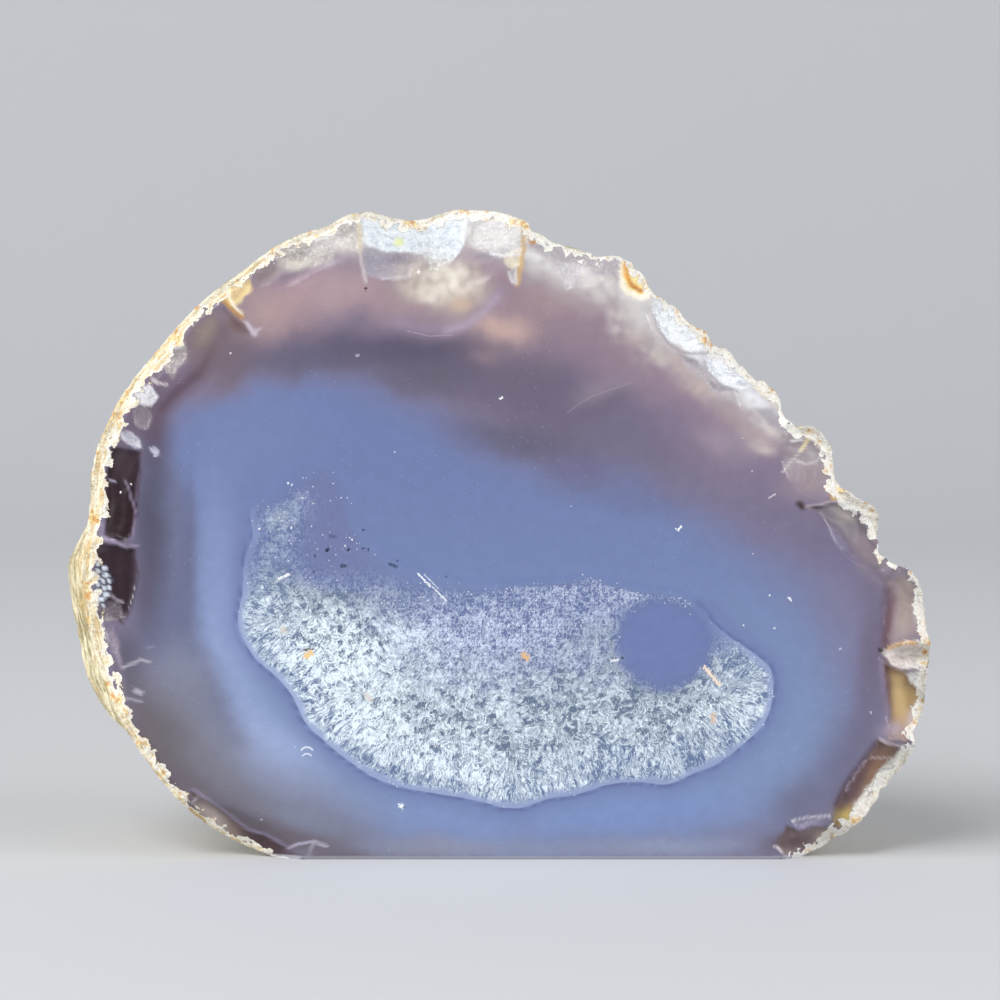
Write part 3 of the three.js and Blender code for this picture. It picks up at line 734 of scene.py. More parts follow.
disc = np.linalg.norm((spot + drift_fine * 2 - np.array(DISC)) / (1.03, 0.98), axis=1)
neck = ease(spot[:, 0], 680, 700) * (1 - ease(np.abs(spot[:, 1] - 618), 14, 30))
smooth_disc = np.maximum(1 - ease(disc + 5 * drift_fine[:, 0], 33, 60), neck * ease(-spot[:, 0], -735, -700))
frost *= 1 - smooth_disc
frost = np.clip(frost, 0, 1)
upper_fade = ease(quartz, 0, 20 - 12 * ease(spot[:, 0], 430, 520))
lower_sharp = ease(-fibre[:, 1], -2.4, -0.6) * near
frost *= np.maximum(upper_fade, lower_sharp)
# The purple-grey lobe, the disc, and the milky line inside the sharp edge.
amount = ease(quartz, 0, 14) * (1 - ease(spot[:, 1], 560, 640))
paint("6f7199", 0.6 * amount * np.exp(-(((spot[:, 0] - 330) / 66) ** 2)))
paint("6b79a9", 0.9 * smooth_disc * ease(quartz, -6, 12))
paint("636d9c", 0.4 * np.exp(-(((disc - 44) / 6) ** 2)) * ease(quartz, 0, 14))
paint("6b79ab", 0.45 * ease(-quartz, -1, 1) * ease(quartz, -9, -1) * ease(spot[:, 1], 500, 600))
low_side = ease(spot[:, 1], 500, 560) * (1 - ease(fibre[:, 1] / PIXEL, 24, 40)) * near
paint("656f9e", 0.38 * ease(quartz, -26, 0) * (1 - ease(quartz, 0, 1)) * low_side)
paint("585f8c", 0.55 * ease(quartz, -4, -1) * (1 - ease(quartz, -0.5, 0.5)) * low_side)

# Where the painted glints of the smallest crystals go.
sparkle = 0.22 * ease(frost, 0.1, 0.5)
GLITTER = [
    ([(505, 584), (545, 582), (571, 579), (590, 575), (604, 580), (640, 592), (668, 592),
      (690, 599)], 16, 0.8),
    ([(690, 600), (662, 605), (642, 612), (628, 628), (621, 645), (624, 664)], 12, 0.6),
    ([(252, 520), (260, 500), (280, 484), (300, 474), (322, 470)], 26, 0.14),
    ([(300, 552), (330, 540), (360, 545)], 20, 0.12),
    ([(716, 628), (745, 650), (768, 672), (770, 705)], 26, 0.35),
    ([(420, 572), (500, 584)], 10, 0.3),
]
for path, width, amount in GLITTER:
    sparkle += amount * np.exp(-((beside(path, spot) / width) ** 2))
sparkle *= ease(quartz, -1, 3) * (1 - smooth_disc)

# The dome behind the cut: the same rings as the solid's, with finer relief cut into them.
SWELL, SWELL_TOWARDS, SWELL_SPREAD, SWELL_REACH = 2.4, 192, 34, 0.62
WAVES, LONGEST_WAVE, WAVE_STEP, LUMP_HEIGHT, WAVE_START = 10, 38, 0.87, 0.7, 1.75
RELIEF_STARTS = 0.22
DIMPLES, DIMPLE_LEAST, DIMPLE_MOST, DIMPLE_DEPTH = 24, 5, 9, 0.17
GOLDEN_ANGLE = math.pi * (3 - math.sqrt(5))


def even_sweep(t):
    from_front, from_back = t ** (ROUNDNESS / 2), (1 - t) ** (ROUNDNESS / 2)
    return math.pi / 2 * from_front / (from_front + from_back)


def lumps(p):
    height = np.zeros(len(p))
    for i in range(WAVES):
        tilt = math.acos(1 - (2 * i + 1) / WAVES)
        turn = i * GOLDEN_ANGLE
        share = WAVE_STEP**i
        run = p @ np.array([math.sin(tilt) * math.cos(turn), math.cos(tilt), math.sin(tilt) * math.sin(turn)])
        along = 2 * math.pi * run / (LONGEST_WAVE * share) + WAVE_START + i
        height += LUMP_HEIGHT * share * np.sin(along)
    return height


def dome_ring(edge, smooth, sweep, start_depth):
    """One ring of the smooth dome, and how it faces."""
    width, back = math.cos(sweep) ** (2 / ROUNDNESS), math.sin(sweep) ** (2 / ROUNDNESS)
    unnotched = float(ease(back, 0, NOTCHES_END))
    rounded = float(ease(back, NOTCHES_END, 1))
    turn = np.arctan2(smooth[:, 1] - CENTRE[1], smooth[:, 0] - CENTRE[0])
    oval = np.stack([np.cos(turn), np.sin(turn)], 1) * OVAL
    out = (edge + (smooth - edge) * unnotched - CENTRE) * (1 - rounded) + oval * rounded
    away = np.abs((np.degrees(turn) - SWELL_TOWARDS + 180) % 360 - 180)
    swell = SWELL * (1 - ease(away, 0, SWELL_SPREAD)) * math.sin(math.pi * min(1, back / SWELL_REACH))
    out *= (width + swell / np.linalg.norm(out, axis=1))[:, None]
    flat = CENTRE + (DOME_TOP - CENTRE) * back + out
    deep = CUT_Y + DEPTH * back + start_depth * (1 - unnotched)
    side = (edge - CENTRE) / np.linalg.norm(edge - CENTRE, axis=1)[:, None] * width ** (ROUNDNESS - 1)
    facing = np.column_stack([side[:, 0], np.full(len(edge), back ** (ROUNDNESS - 1)), side[:, 1]])
    facing /= np.linalg.norm(facing, axis=1)[:, None]
    return np.column_stack([flat[:, 0], deep + np.zeros(len(edge)), flat[:, 1]]), facing, back


dimple_at, dimple_radius = [], []
for i in range(DIMPLES):
    turn = 2 * math.pi * (i * 0.7549 % 1)
    edge = CENTRE + OVAL * (math.cos(turn), math.sin(turn))
    sweep = even_sweep(1 - math.sqrt((0.5 + i * 0.5698) % 1))
    dimple_at.append(dome_ring(edge[None], edge[None], sweep, 0)[0][0])
    dimple_radius.append(DIMPLE_LEAST + (DIMPLE_MOST - DIMPLE_LEAST) * (i * 0.618 % 1))


def rind_ring(edge, smooth, t, start_depth):
    p, facing, back = dome_ring(edge, smooth, even_sweep(t), start_depth)
    dimples = np.zeros(len(p))
    for middle, radius in zip(dimple_at, dimple_radius):
        away = np.linalg.norm(p - middle, axis=1) / radius
        dimples = np.maximum(dimples, DIMPLE_DEPTH * radius * (1 - away * away))
    coarse = (lumps(p) - dimples) * float(ease(back, 0, RELIEF_STARTS))
    # Finer, and only ever cut in: wrinkles that run with the rim, pits and grit.
    wrinkle = np.abs(grain(p * (0.22, 1, 0.22), 1.5, 5.0))
    fine = 0.42 * (1 - wrinkle) ** 2 + 0.3 * np.clip(grain(p, 2.6, 1.0), 0, 1)
    fine += 0.25 * (0.5 + 0.5 * grain(p, 5.5, 2.0)) + 0.16 * np.clip(grain(p, 1.1, 3.0), 0, 1)
    return p + facing * (coarse - fine * float(ease(back, 0, 0.03)))[:, None]


start_depth = relief[:COLUMNS]
FINE_BACK = np.linspace(0.006, 0.095, 15)
PLAIN_BACK = np.linspace(0.112, 0.99, 46)
fine_back = np.concatenate([rind_ring(rough_rim, smooth_rim, t, start_depth) for t in FINE_BACK])
plain = slice(None, None, THIN)
plain_back = np.concatenate(
    [rind_ring(rough_rim[plain], smooth_rim[plain], t, start_depth[plain]) for t in PLAIN_BACK]
)
dome_end = rind_ring(rim[:1], smooth_rim[:1], 1.0, 0.0)
face_points = np.column_stack([face[:, 0], CUT_Y + relief, face[:, 1]])
dome_points = np.vstack([fine_back, plain_back, dome_end])
points = np.vstack([face_points, dome_points])

# Faces between the rings. A seam of triangles joins fine rings to plain ones.
triangles = []


def ring_start(kind, k):
    plain_count = COLUMNS // THIN
    return {
        "fine face": k * COLUMNS,
        "plain face": len(fine_face) + k * plain_count,
        "fine back": len(face) + k * COLUMNS,
        "plain back": len(face) + len(fine_back) + k * plain_count,
    }[kind]


def join_rings(outer, inner, count, turned):
    i = np.arange(count)
    j = (i + 1) % count
    for tri in ((outer + i, inner + i, inner + j), (outer + i, inner + j, outer + j)):
        triangles.append(np.stack(tri[::-1] if turned else tri, 1))


def join_seam(outer, inner, turned):
    count = COLUMNS // THIN
    i = np.arange(count)
    j = (i + 1) % count
    corners = [outer + (THIN * i + k) % COLUMNS for k in range(THIN + 1)]
    for k in range(THIN):
        owner = inner + i if k < THIN - 1 else inner + j
        tri = (corners[k], owner, corners[k + 1])
        triangles.append(np.stack(tri[::-1] if turned else tri, 1))
    tri = (corners[THIN - 1], inner + i, inner + j)
    triangles.append(np.stack(tri[::-1] if turned else tri, 1))


def join_end(ring, end, count, turned):
    i = np.arange(count)
    tri = (ring + i, np.full(count, end), ring + (i + 1) % count)
    triangles.append(np.stack(tri[::-1] if turned else tri, 1))


for k in range(len(FINE_SHARES) - 1):
    join_rings(ring_start("fine face", k), ring_start("fine face", k + 1), COLUMNS, True)
join_seam(ring_start("fine face", len(FINE_SHARES) - 1), ring_start("plain face", 0), True)
for k in range(len(PLAIN_SHARES) - 1):
    join_rings(ring_start("plain face", k), ring_start("plain face", k + 1), COLUMNS // THIN, True)
join_end(ring_start("plain face", len(PLAIN_SHARES) - 1), len(face) - 1, COLUMNS // THIN, True)
join_rings(0, ring_start("fine back", 0), COLUMNS, False)
for k in range(len(FINE_BACK) - 1):
    join_rings(ring_start("fine back", k), ring_start("fine back", k + 1), COLUMNS, False)
join_seam(ring_start("fine back", len(FINE_BACK) - 1), ring_start("plain back", 0), False)
for k in range(len(PLAIN_BACK) - 1):
    join_rings(ring_start("plain back", k), ring_start("plain back", k + 1), COLUMNS // THIN, False)
join_end(ring_start("plain back", len(PLAIN_BACK) - 1), len(points) - 1, COLUMNS // THIN, False)
triangles = np.concatenate(triangles)

# The solid is centred over the origin, so the finer stone is moved the same way.
cad_node_low, cad_node_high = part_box("agate_end_piece")
shift = np.array([cad_node_high.x * 1000 - rim[:, 0].max(), cad_node_low.y * 1000 - CUT_Y, 0])
points += shift
mesh = bpy.data.meshes.new("agate_stone")
mesh.from_pydata((points / 1000).tolist(), [], triangles.tolist())

backs = len(dome_points)


def save(name, kind, on_face, on_dome):
    """Keeps a value at every point of the mesh, for the material to read."""
    values = np.concatenate([on_face, np.broadcast_to(on_dome, (backs,) + on_face.shape[1:])])
    layer = mesh.attributes.new(name, kind, "POINT")
    key = {"FLOAT": "value", "FLOAT_VECTOR": "vector", "FLOAT_COLOR": "color"}[kind]
    layer.data.foreach_set(key, values.astype(np.float32).ravel())


rind_tone = colour("cdbf9c")
save("tone", "FLOAT_COLOR", np.column_stack([tone, np.ones(len(face))]), np.append(rind_tone, 1))
save("crust", "FLOAT", crust, 3.0)
column_run = np.arange(COLUMNS) / COLUMNS * rim_length
run_behind = [column_run] * len(FINE_BACK) + [column_run[::THIN]] * len(PLAIN_BACK) + [[0.0]]
ring_behind = np.concatenate([FINE_BACK, PLAIN_BACK, [1.0]]) * 60
behind = np.concatenate([np.full(len(run), at) for run, at in zip(run_behind, ring_behind)])
save(
    "rim_at",
    "FLOAT_VECTOR",
    np.column_stack([rim_run, from_rim * PIXEL, np.zeros(len(face))]),
    np.column_stack([np.concatenate(run_behind), -behind, np.zeros(backs)]),
)
save("rind", "FLOAT", np.zeros(len(face)), 1.0)
save("chalk", "FLOAT", chalk, 0.0)
save("chipped", "FLOAT", chipped, 0.0)
save("quartz", "FLOAT", quartz * PIXEL, -8.0)
save("frost", "FLOAT", frost, 0.0)
save("fibre", "FLOAT_VECTOR", fibre, np.zeros(3))
save("far_up", "FLOAT", far_up, 0.0)
save("sparkle", "FLOAT", sparkle, 0.0)
save("sawn", "FLOAT", np.zeros(len(face)), 0.0)

# The sawn base: everything below z = 0 goes, the front edge gets a thin bevel, and the
# opening is closed with rings that hold the distance in from the natural outside.
BEVEL = 0.5
BASE_RINGS = 9
bm = bmesh.new()
bm.from_mesh(mesh)
for height, below in ((BEVEL, False), (0.0, True)):
    everything = bm.verts[:] + bm.edges[:] + bm.faces[:]
    bmesh.ops.bisect_plane(
        bm, geom=everything, dist=1e-7, plane_co=(0, 0, height / 1000), plane_no=(0, 0, 1), clear_inner=below
    )
front = (CUT_Y + shift[1]) / 1000
for v in bm.verts:
    if v.co.z < BEVEL / 1000 and v.co.y < front + 0.0002:
        v.co.y += 0.8 * (BEVEL / 1000 - v.co.z)
loop_edges = [e for e in bm.edges if len(e.link_faces) == 1]
around = {}
for e in loop_edges:
    for v in e.verts:
        around.setdefault(v, []).append(e)
start = loop_edges[0].verts[0]
order, came = [start], None
while True:
    edge = next(e for e in around[order[-1]] if e is not came)
    nxt = edge.other_vert(order[-1])
    came = edge
    if nxt is start:
        break
    order.append(nxt)
border = np.array([v.co[:] for v in order])
middle = np.array([(cad_node_low.x + cad_node_high.x) / 2, front + 0.014, 0])
is_front = border[:, 1] < front + 0.0006
outside = border[~is_front][:, :2]
layers = {name: bm.verts.layers.float[name] for name in ("crust", "sawn", "quartz")}
tone_layer = bm.verts.layers.float_color["tone"]
rings = []
BASE_TONES = [("8d8274", 1.5), ("5c4a4c", 3.5), ("6d6573", 7), ("82828f", 12), ("7d89a8", 30)]
for k in range(BASE_RINGS):
    share = 1 - (k / (BASE_RINGS - 1)) ** 1.8 * 0.98
    ring = []
    for co in border:
        p = middle + (co - middle) * share
        v = bm.verts.new(p)
        from_outside = np.min(np.linalg.norm(outside - p[:2], axis=1)) * 1000
        v[layers["crust"]] = 1.6 - from_outside
        v[layers["sawn"]] = 1.0
        v[layers["quartz"]] = -8.0
        shades = np.array([colour(c) for c, _ in BASE_TONES])
        reach = [at for _, at in BASE_TONES]
        v[tone_layer] = [*(np.interp(from_outside, reach, shades[:, c]) for c in range(3)), 1]
        ring.append(v)
    rings.append(ring)
count = len(order)
for a, b in zip(rings[:-1], rings[1:]):
    for i in range(count):
        bm.faces.new((a[i], a[(i + 1) % count], b[(i + 1) % count], b[i]))
bm.faces.new(rings[-1])
bmesh.ops.triangulate(bm, faces=bm.faces[:])
base_faces = [f for f in bm.faces if all(v[layers["sawn"]] > 0.5 for v in f.verts)]
for f in base_faces:
    f.normal_update()
    if f.normal.z > 0:
        f.normal_flip()
for f in bm.faces:
    f.smooth = True
bm.to_mesh(mesh)
bm.free()
stone = bpy.data.objects.new("agate_stone", mesh)
bpy.context.scene.collection.objects.link(stone)

# The smallest marks in the cut: colour, strength, width and the points of each, in PIXELs.
MARKS = [
    ("f4cd8c", 0.95, 6.5, (306, 656), (310, 653)), ("3b2a1c", 0.85, 2.4, (304, 650), (312, 649)),
    ("eebd80", 0.9, 6, (524, 655), (527, 658)), ("cdbfae", 0.6, 6, (366, 696), (370, 700)),
    ("e6d3ac", 0.45, 8, (283, 630)), ("e8c9a6", 0.7, 6, (714, 716), (714, 722)),
    ("f5e0cc", 0.95, 3.5, (705, 667), (720, 685)), ("f8fafc", 0.9, 1.8, (418, 573), (430, 586)),
    ("f8fafc", 0.8, 1.5, (429, 583), (446, 600)), ("eef2fa", 0.6, 1.4, (424, 574), (438, 588)),
    ("1c2038", 0.95, 4, (327, 549)), ("1f2440", 0.85, 3, (348, 549)), ("2a2d4c", 0.8, 2.6, (363, 548)),
    ("23283f", 0.75, 3.4, (341, 565), (345, 565)), ("2a2d4c", 0.7, 3, (389, 563), (396, 566)),
    ("2c3050", 0.75, 2.6, (315, 555)), ("2a2d4c", 0.8, 2.6, (363, 529)),
    ("4b4f75", 0.6, 4, (330, 535), (335, 536)), ("2c3050", 0.7, 2.6, (368, 549)),
    ("3a3e5e", 0.6, 3, (313, 571)), ("2a2d4c", 0.7, 2.4, (397, 560)), ("1c2038", 0.9, 3, (622, 658)),
    ("2c3050", 0.7, 2.6, (446, 576)), ("f2f6fb", 0.95, 6, (401, 808)), ("2c3444", 0.9, 2.2, (403, 809)),
    ("c8d0e2", 0.6, 1.6, (294, 748)), ("ffffff", 0.9, 2, (500, 398), (502, 396)),
    ("ffffff", 0.9, 2.4, (678, 529), (681, 526)), ("ffffff", 0.8, 1.6, (676, 528)),
    ("d9d9e6", 0.7, 3, (155, 455)), ("3a2028", 0.9, 3.4, (366, 288)), ("e3e7a4", 0.9, 9, (399, 242)),
    ("c7cf7a", 0.6, 3, (397, 244)), ("e6ab55", 0.85, 7, (412, 224), (416, 225)),
    ("fffef8", 0.9, 4, (419, 271)), ("e9a86c", 0.8, 7, (826, 451)), ("dc9a48", 0.9, 6, (774, 393)),
    ("d49345", 0.85, 7, (682, 311), (687, 313)), ("eedc9c", 0.8, 9, (699, 330), (705, 335)),
    ("f4f6fb", 0.8, 3, (612, 661), (618, 660)), ("ffffff", 0.9, 2, (131, 483)),
    ("ffffff", 0.9, 2, (120, 492)), ("ffffff", 0.8, 2.2, (292, 484)), ("ffffff", 0.85, 2.2, (288, 482)),
    ("ffffff", 0.8, 2.4, (259, 528)), ("ffffff", 0.8, 3, (279, 578), (288, 574)),
    ("ffffff", 0.8, 2, (291, 527)), ("ffffff", 0.8, 2, (352, 539)), ("ffffff", 0.8, 2, (345, 545)),
    ("e6dee6", 0.8, 2, (231, 352)), ("c3bfd0", 0.7, 3.4, (358, 354)),
    ("ffffff", 0.75, 2.2, (789, 597), (792, 600)), ("e8ecfa", 0.8, 2.2, (775, 628)),
    ("ffffff", 0.6, 1.6, (753, 553)), ("ffffff", 0.7, 1.8, (744, 625)),
    ("ffffff", 0.7, 1.8, (770, 595)), ("e9e4ef", 0.6, 2.6, (872, 713)),
    ("d9dbe9", 0.6, 2.4, (841, 649)), ("c9cfe6", 0.5, 1.8, (571, 505)),
    ("ffffff", 0.6, 1.6, (395, 451)), ("ded9e2", 0.7, 1.6, (769, 497), (775, 493)),
    ("d6c4cf", 0.7, 1.6, (752, 470)), ("e6dce2", 0.7, 1.4, (742, 437)),
    ("cdd3e6", 0.6, 1.8, (260, 822)), ("cdd3e6", 0.6, 1.8, (388, 853)),
    ("a99ba6", 0.35, 1.2, (568, 411), (580, 402), (592, 395), (612, 388), (632, 381)),
    ("b4a6ba", 0.4, 1.3, (408, 330), (430, 335), (452, 334)),
]
centres = np.zeros(len(mesh.polygons) * 3)
mesh.polygons.foreach_get("center", centres)
centres = centres.reshape(-1, 3) * 1000
nearest = np.full(len(centres), 1e9)
mark_from = np.zeros((len(centres), 3))
mark_to, mark_colour = mark_from.copy(), mark_from.copy()
mark_width, mark_strength = np.full(len(centres), 0.1), np.zeros(len(centres))
on_cut = centres[:, 1] < CUT_Y + shift[1] + 5
for text, strength, width, *path in MARKS:
    ends = np.array([to_cut(p) + (shift[0], 0) for p in path])
    for a, b in zip(ends[:-1], ends[1:]) if len(ends) > 1 else [(ends[0], ends[0])]:
        ab, ap = b - a, centres[:, ::2] - a
        t = np.clip(ap @ ab / max(ab @ ab, 1e-9), 0, 1)
        d = np.linalg.norm(ap - t[:, None] * ab, axis=1) - width / 2 * PIXEL
        closer = on_cut & (d < nearest)
        nearest[closer] = d[closer]
        mark_from[closer] = (a[0], 0, a[1])
        mark_to[closer] = (b[0], 0, b[1])
        mark_colour[closer] = colour(text)
        mark_width[closer] = width / 2 * PIXEL
        mark_strength[closer] = strength
for name, kind, key, values in (
    ("mark_from", "FLOAT_VECTOR", "vector", mark_from),
    ("mark_to", "FLOAT_VECTOR", "vector", mark_to),
    ("mark_colour", "FLOAT_VECTOR", "vector", mark_colour),
    ("mark_width", "FLOAT", "value", mark_width),
    ("mark_strength", "FLOAT", "value", mark_strength),
):
    layer = mesh.attributes.new(name, kind, "FACE")
    layer.data.foreach_set(key, values.astype(np.float32).ravel())

# Its materials. Each part of the stone has its own, with only the patterns that show there,
# and they agree where they meet. The functions below add nodes to the one started last.
def start_material(name):
    """A new material, with the place on the stone in millimetres ready to use."""
    global nodes, links, mm, flat
    material = bpy.data.materials.new(name)
    material.use_nodes = True
    nodes, links = material.node_tree.nodes, material.node_tree.links
    nodes.clear()
    mm = scaled(nodes.new("ShaderNodeTexCoord").outputs["Object"], (1000, 1000, 1000))
    flat = nodes.new("ShaderNodeCombineXYZ")
    feed(flat.inputs[0], part(mm, 0))
    feed(flat.inputs[1], part(mm, 2))
    flat = flat.outputs[0]
    mesh.materials.append(material)


def feed(socket, value):
    if isinstance(value, bpy.types.NodeSocket):
        links.new(value, socket)
    elif value is not None:
        socket.default_value = value


def calc(operation, *values, clamp=False):
    node = nodes.new("ShaderNodeMath")
    node.operation, node.use_clamp = operation, clamp
    for socket, value in zip(node.inputs, values):
        feed(socket, value)
    return node.outputs[0]


def span(value, low, high, to_low=0.0, to_high=1.0):
    node = nodes.new("ShaderNodeMapRange")
    node.interpolation_type = "SMOOTHSTEP"
    for socket, v in zip(node.inputs, (value, low, high, to_low, to_high)):
        feed(socket, v)
    return node.outputs[0]


def mixed(amount, a, b, how="MIX"):
    node = nodes.new("ShaderNodeMix")
    node.data_type, node.blend_type = "RGBA", how
    feed(node.inputs["Factor"], amount)
    feed(node.inputs[6], a)
    feed(node.inputs[7], b)
    return node.outputs[2]


def kept(name, output="Fac"):
    node = nodes.new("ShaderNodeAttribute")
    node.attribute_name = name
    return node.outputs[output]


def rgb(text):
    return (*colour(text), 1.0)


def vector(operation, a, b, output=0):
    node = nodes.new("ShaderNodeVectorMath")
    node.operation = operation
    feed(node.inputs[0], a)
    feed(node.inputs["Scale"] if operation == "SCALE" else node.inputs[1], b)
    return node.outputs[output]


def scaled(where, factors):
    return vector("MULTIPLY", where, factors)


def part(where, which):
    node = nodes.new("ShaderNodeSeparateXYZ")
    feed(node.inputs[0], where)
    return node.outputs[which]


def noisy(where, size, detail=2.0, rough=0.5, twist=0.0, sheet=False, output="Fac"):
    node = nodes.new("ShaderNodeTexNoise")
    node.noise_dimensions = "2D" if sheet else "3D"
    feed(node.inputs["Vector"], where)
    node.inputs["Scale"].default_value = 1 / size
    node.inputs["Detail"].default_value = detail
    node.inputs["Roughness"].default_value = rough
    node.inputs["Distortion"].default_value = twist
    return node.outputs[output]


def celled(where, size, feature="F1", output="Distance"):
    node = nodes.new("ShaderNodeTexVoronoi")
    node.feature, node.voronoi_dimensions = feature, "2D"
    feed(node.inputs["Vector"], where)
    node.inputs["Scale"].default_value = 1 / size
    return node.outputs[output]


def winding(value, width):
    """1 along thin winding lines, which are where the noise passes its middle value."""
    return span(calc("ABSOLUTE", calc("MULTIPLY_ADD", value, 2.0, -1.0)), 0.0, width, 1, 0)


def warped(where, size, amount):
    """The place pushed a little by smooth noise, so that nothing on it runs straight."""
    push = vector("SUBTRACT", noisy(where, size, 1, sheet=True, output="Color"), (0.5, 0.5, 0.5))
    return vector("ADD", where, scaled(push, (amount, amount, amount)))


RELIEF_STRENGTH = 0.8
RELIEF_HEIGHT = 0.0005  # in metres, of the roughness that is too fine for the mesh


def finish_material(base, rough, bump_height=None):
    shader = nodes.new("ShaderNodeBsdfPrincipled")
    feed(shader.inputs["Base Color"], base)
    feed(shader.inputs["Roughness"], rough)
    shader.inputs["IOR"].default_value = 1.5
    shader.inputs["Specular IOR Level"].default_value = 0.3
    if bump_height is not None:
        bump = nodes.new("ShaderNodeBump")
        bump.inputs["Strength"].default_value = RELIEF_STRENGTH
        bump.inputs["Distance"].default_value = RELIEF_HEIGHT
        feed(bump.inputs["Height"], bump_height)
        feed(shader.inputs["Normal"], bump.outputs[0])
    links.new(shader.outputs[0], nodes.new("ShaderNodeOutputMaterial").inputs[0])


# Chalcedony: its kept colour with the faintest cloud in it.
def chalcedony():
    cloudy = span(noisy(mm, 1.6, 3, 0.65), 0.3, 0.7, 0.97, 1.03)
    return mixed(1.0, kept("tone", "Color"), cloudy, "MULTIPLY")


# The single small marks: each face knows the nearest one, a short line or a dot.
def with_marks(base):
    mark_from = kept("mark_from", "Vector")
    from_start = vector("SUBTRACT", scaled(mm, (1, 0, 1)), mark_from)
    whole = vector("SUBTRACT", kept("mark_to", "Vector"), mark_from)
    length_2 = calc("MAXIMUM", vector("DOT_PRODUCT", whole, whole, "Value"), 1e-6)
    along = calc("DIVIDE", vector("DOT_PRODUCT", from_start, whole, "Value"), length_2, clamp=True)
    nearest_on_it = vector("SCALE", whole, along)
    gap = vector("LENGTH", vector("SUBTRACT", from_start, nearest_on_it), None, "Value")
    half_width = kept("mark_width")
    ragged = calc("MULTIPLY", span(noisy(flat, 0.22, 1, sheet=True), 0.2, 0.8, -0.6, 0.6), half_width)
    mark_edge = calc("DIVIDE", calc("ADD", gap, ragged), half_width)
    amount = calc("MULTIPLY", span(mark_edge, 0.55, 1.25, 1, 0), kept("mark_strength"))
    return mixed(amount, base, kept("mark_colour", "Vector"))


# Painted glints: white dots where the smallest crystals glitter, most of all along the quartz's upper edge.
def with_painted_glints(base):
    own = celled(flat, 0.36, output="Color")
    size = part(own, 2)
    chosen = calc("GREATER_THAN", calc("MULTIPLY_ADD", kept("sparkle"), 0.5, part(own, 1)), 1.0)
    dot = span(celled(flat, 0.36), 0.08, calc("MULTIPLY_ADD", size, 0.20, 0.14), 1, 0)
    strength = calc("MULTIPLY", calc("MULTIPLY", chosen, dot), calc("MULTIPLY_ADD", size, 0.6, 0.3))
    return mixed(strength, base, rgb("fbfdff"))


# Polished chalcedony, with a sparse white dust and two crescent-shaped bruises in it.
BRUISES = [((306, 755), 6.8, 1.8), ((306, 760), 5.2, 1.5)]
start_material("agate_polish")
base = chalcedony()
dusty = span(noisy(flat, 9.0, 1, sheet=True), 0.54, 0.64, 0, 0.28)
dust = calc("MULTIPLY", span(celled(flat, 1.9), 0.015, 0.045, 1, 0), dusty)
base = mixed(dust, base, rgb("e3e6f2"))
for at, radius, width in BRUISES:
    middle = to_cut(at) + (shift[0], 0)
    from_middle = vector("SUBTRACT", flat, (*middle, 0))
    gap = calc("ABSOLUTE", calc("SUBTRACT", vector("LENGTH", from_middle, None, "Value"), radius * PIXEL))
    on_arc = span(gap, 0.2 * width * PIXEL, 0.7 * width * PIXEL, 1, 0)
    upper = span(part(from_middle, 1), 0.35 * radius * PIXEL, 0.65 * radius * PIXEL)
    base = mixed(calc("MULTIPLY", calc("MULTIPLY", on_arc, upper), 0.85), base, rgb("e9edf6"))
finish_material(with_marks(base), 0.2)

# Quartz: pale ice with grains that have painted shade under their upper edge and a painted
# highlight along it, tangled with bright threads. It stands as needles on the sharp lower side
# and is finer above, where there is less frost and the chalcedony shows through.
def crystals(where, edge_width, share):
    """How light a mass of crystals is, each about one unit across: a share of them have painted shade under
    their upper edge, and all a painted highlight along it.
    """
    cell = nodes.new("ShaderNodeTexVoronoi")
    cell.voronoi_dimensions = "2D"
    feed(cell.inputs["Vector"], where)
    cell.inputs["Scale"].default_value = 1
    off_middle = vector("SUBTRACT", where, cell.outputs["Position"])
    # toward_light: up and a little to the left, where the light comes from.
    toward_light = vector("DOT_PRODUCT", off_middle, (-0.35, 1, 0), "Value")
    edge = celled(where, 1, "DISTANCE_TO_EDGE")
    # painted shade: a share of the grains darker just under their upper edge
    dark = span(part(cell.outputs["Color"], 0), share - 0.45, share + 0.3, 0.8, 0)
    dark = calc("MULTIPLY", dark, calc("MULTIPLY", span(toward_light, -0.5, 0.4, 0.1, 1), span(edge, 0, 0.06)))
    # painted highlight along the upper edge of every grain
    lit_ridge = calc("MULTIPLY", span(edge, 0.02, edge_width, 0.4, 0), span(toward_light, -0.1, 0.25))
    return calc("ADD", calc("SUBTRACT", 0.72, dark), lit_ridge)


start_material("agate_quartz")
base = chalcedony()
quartz_mm, frost_w, fibre_mm = kept("quartz"), kept("frost"), kept("fibre", "Vector")
from_low = part(fibre_mm, 1)
wander = noisy(flat, 2.4, 1, sheet=True)
needle_w = span(calc("MULTIPLY_ADD", wander, 7.0, from_low), 5.5, 11.5, 1, 0)
fine_w = span(calc("MULTIPLY_ADD", wander, 9.0, from_low), 14.0, 27.0)
fine_w = calc("MAXIMUM", fine_w, span(frost_w, 0.26, 0.44, 1, 0))
fine_w = calc("MAXIMUM", fine_w, kept("far_up"))
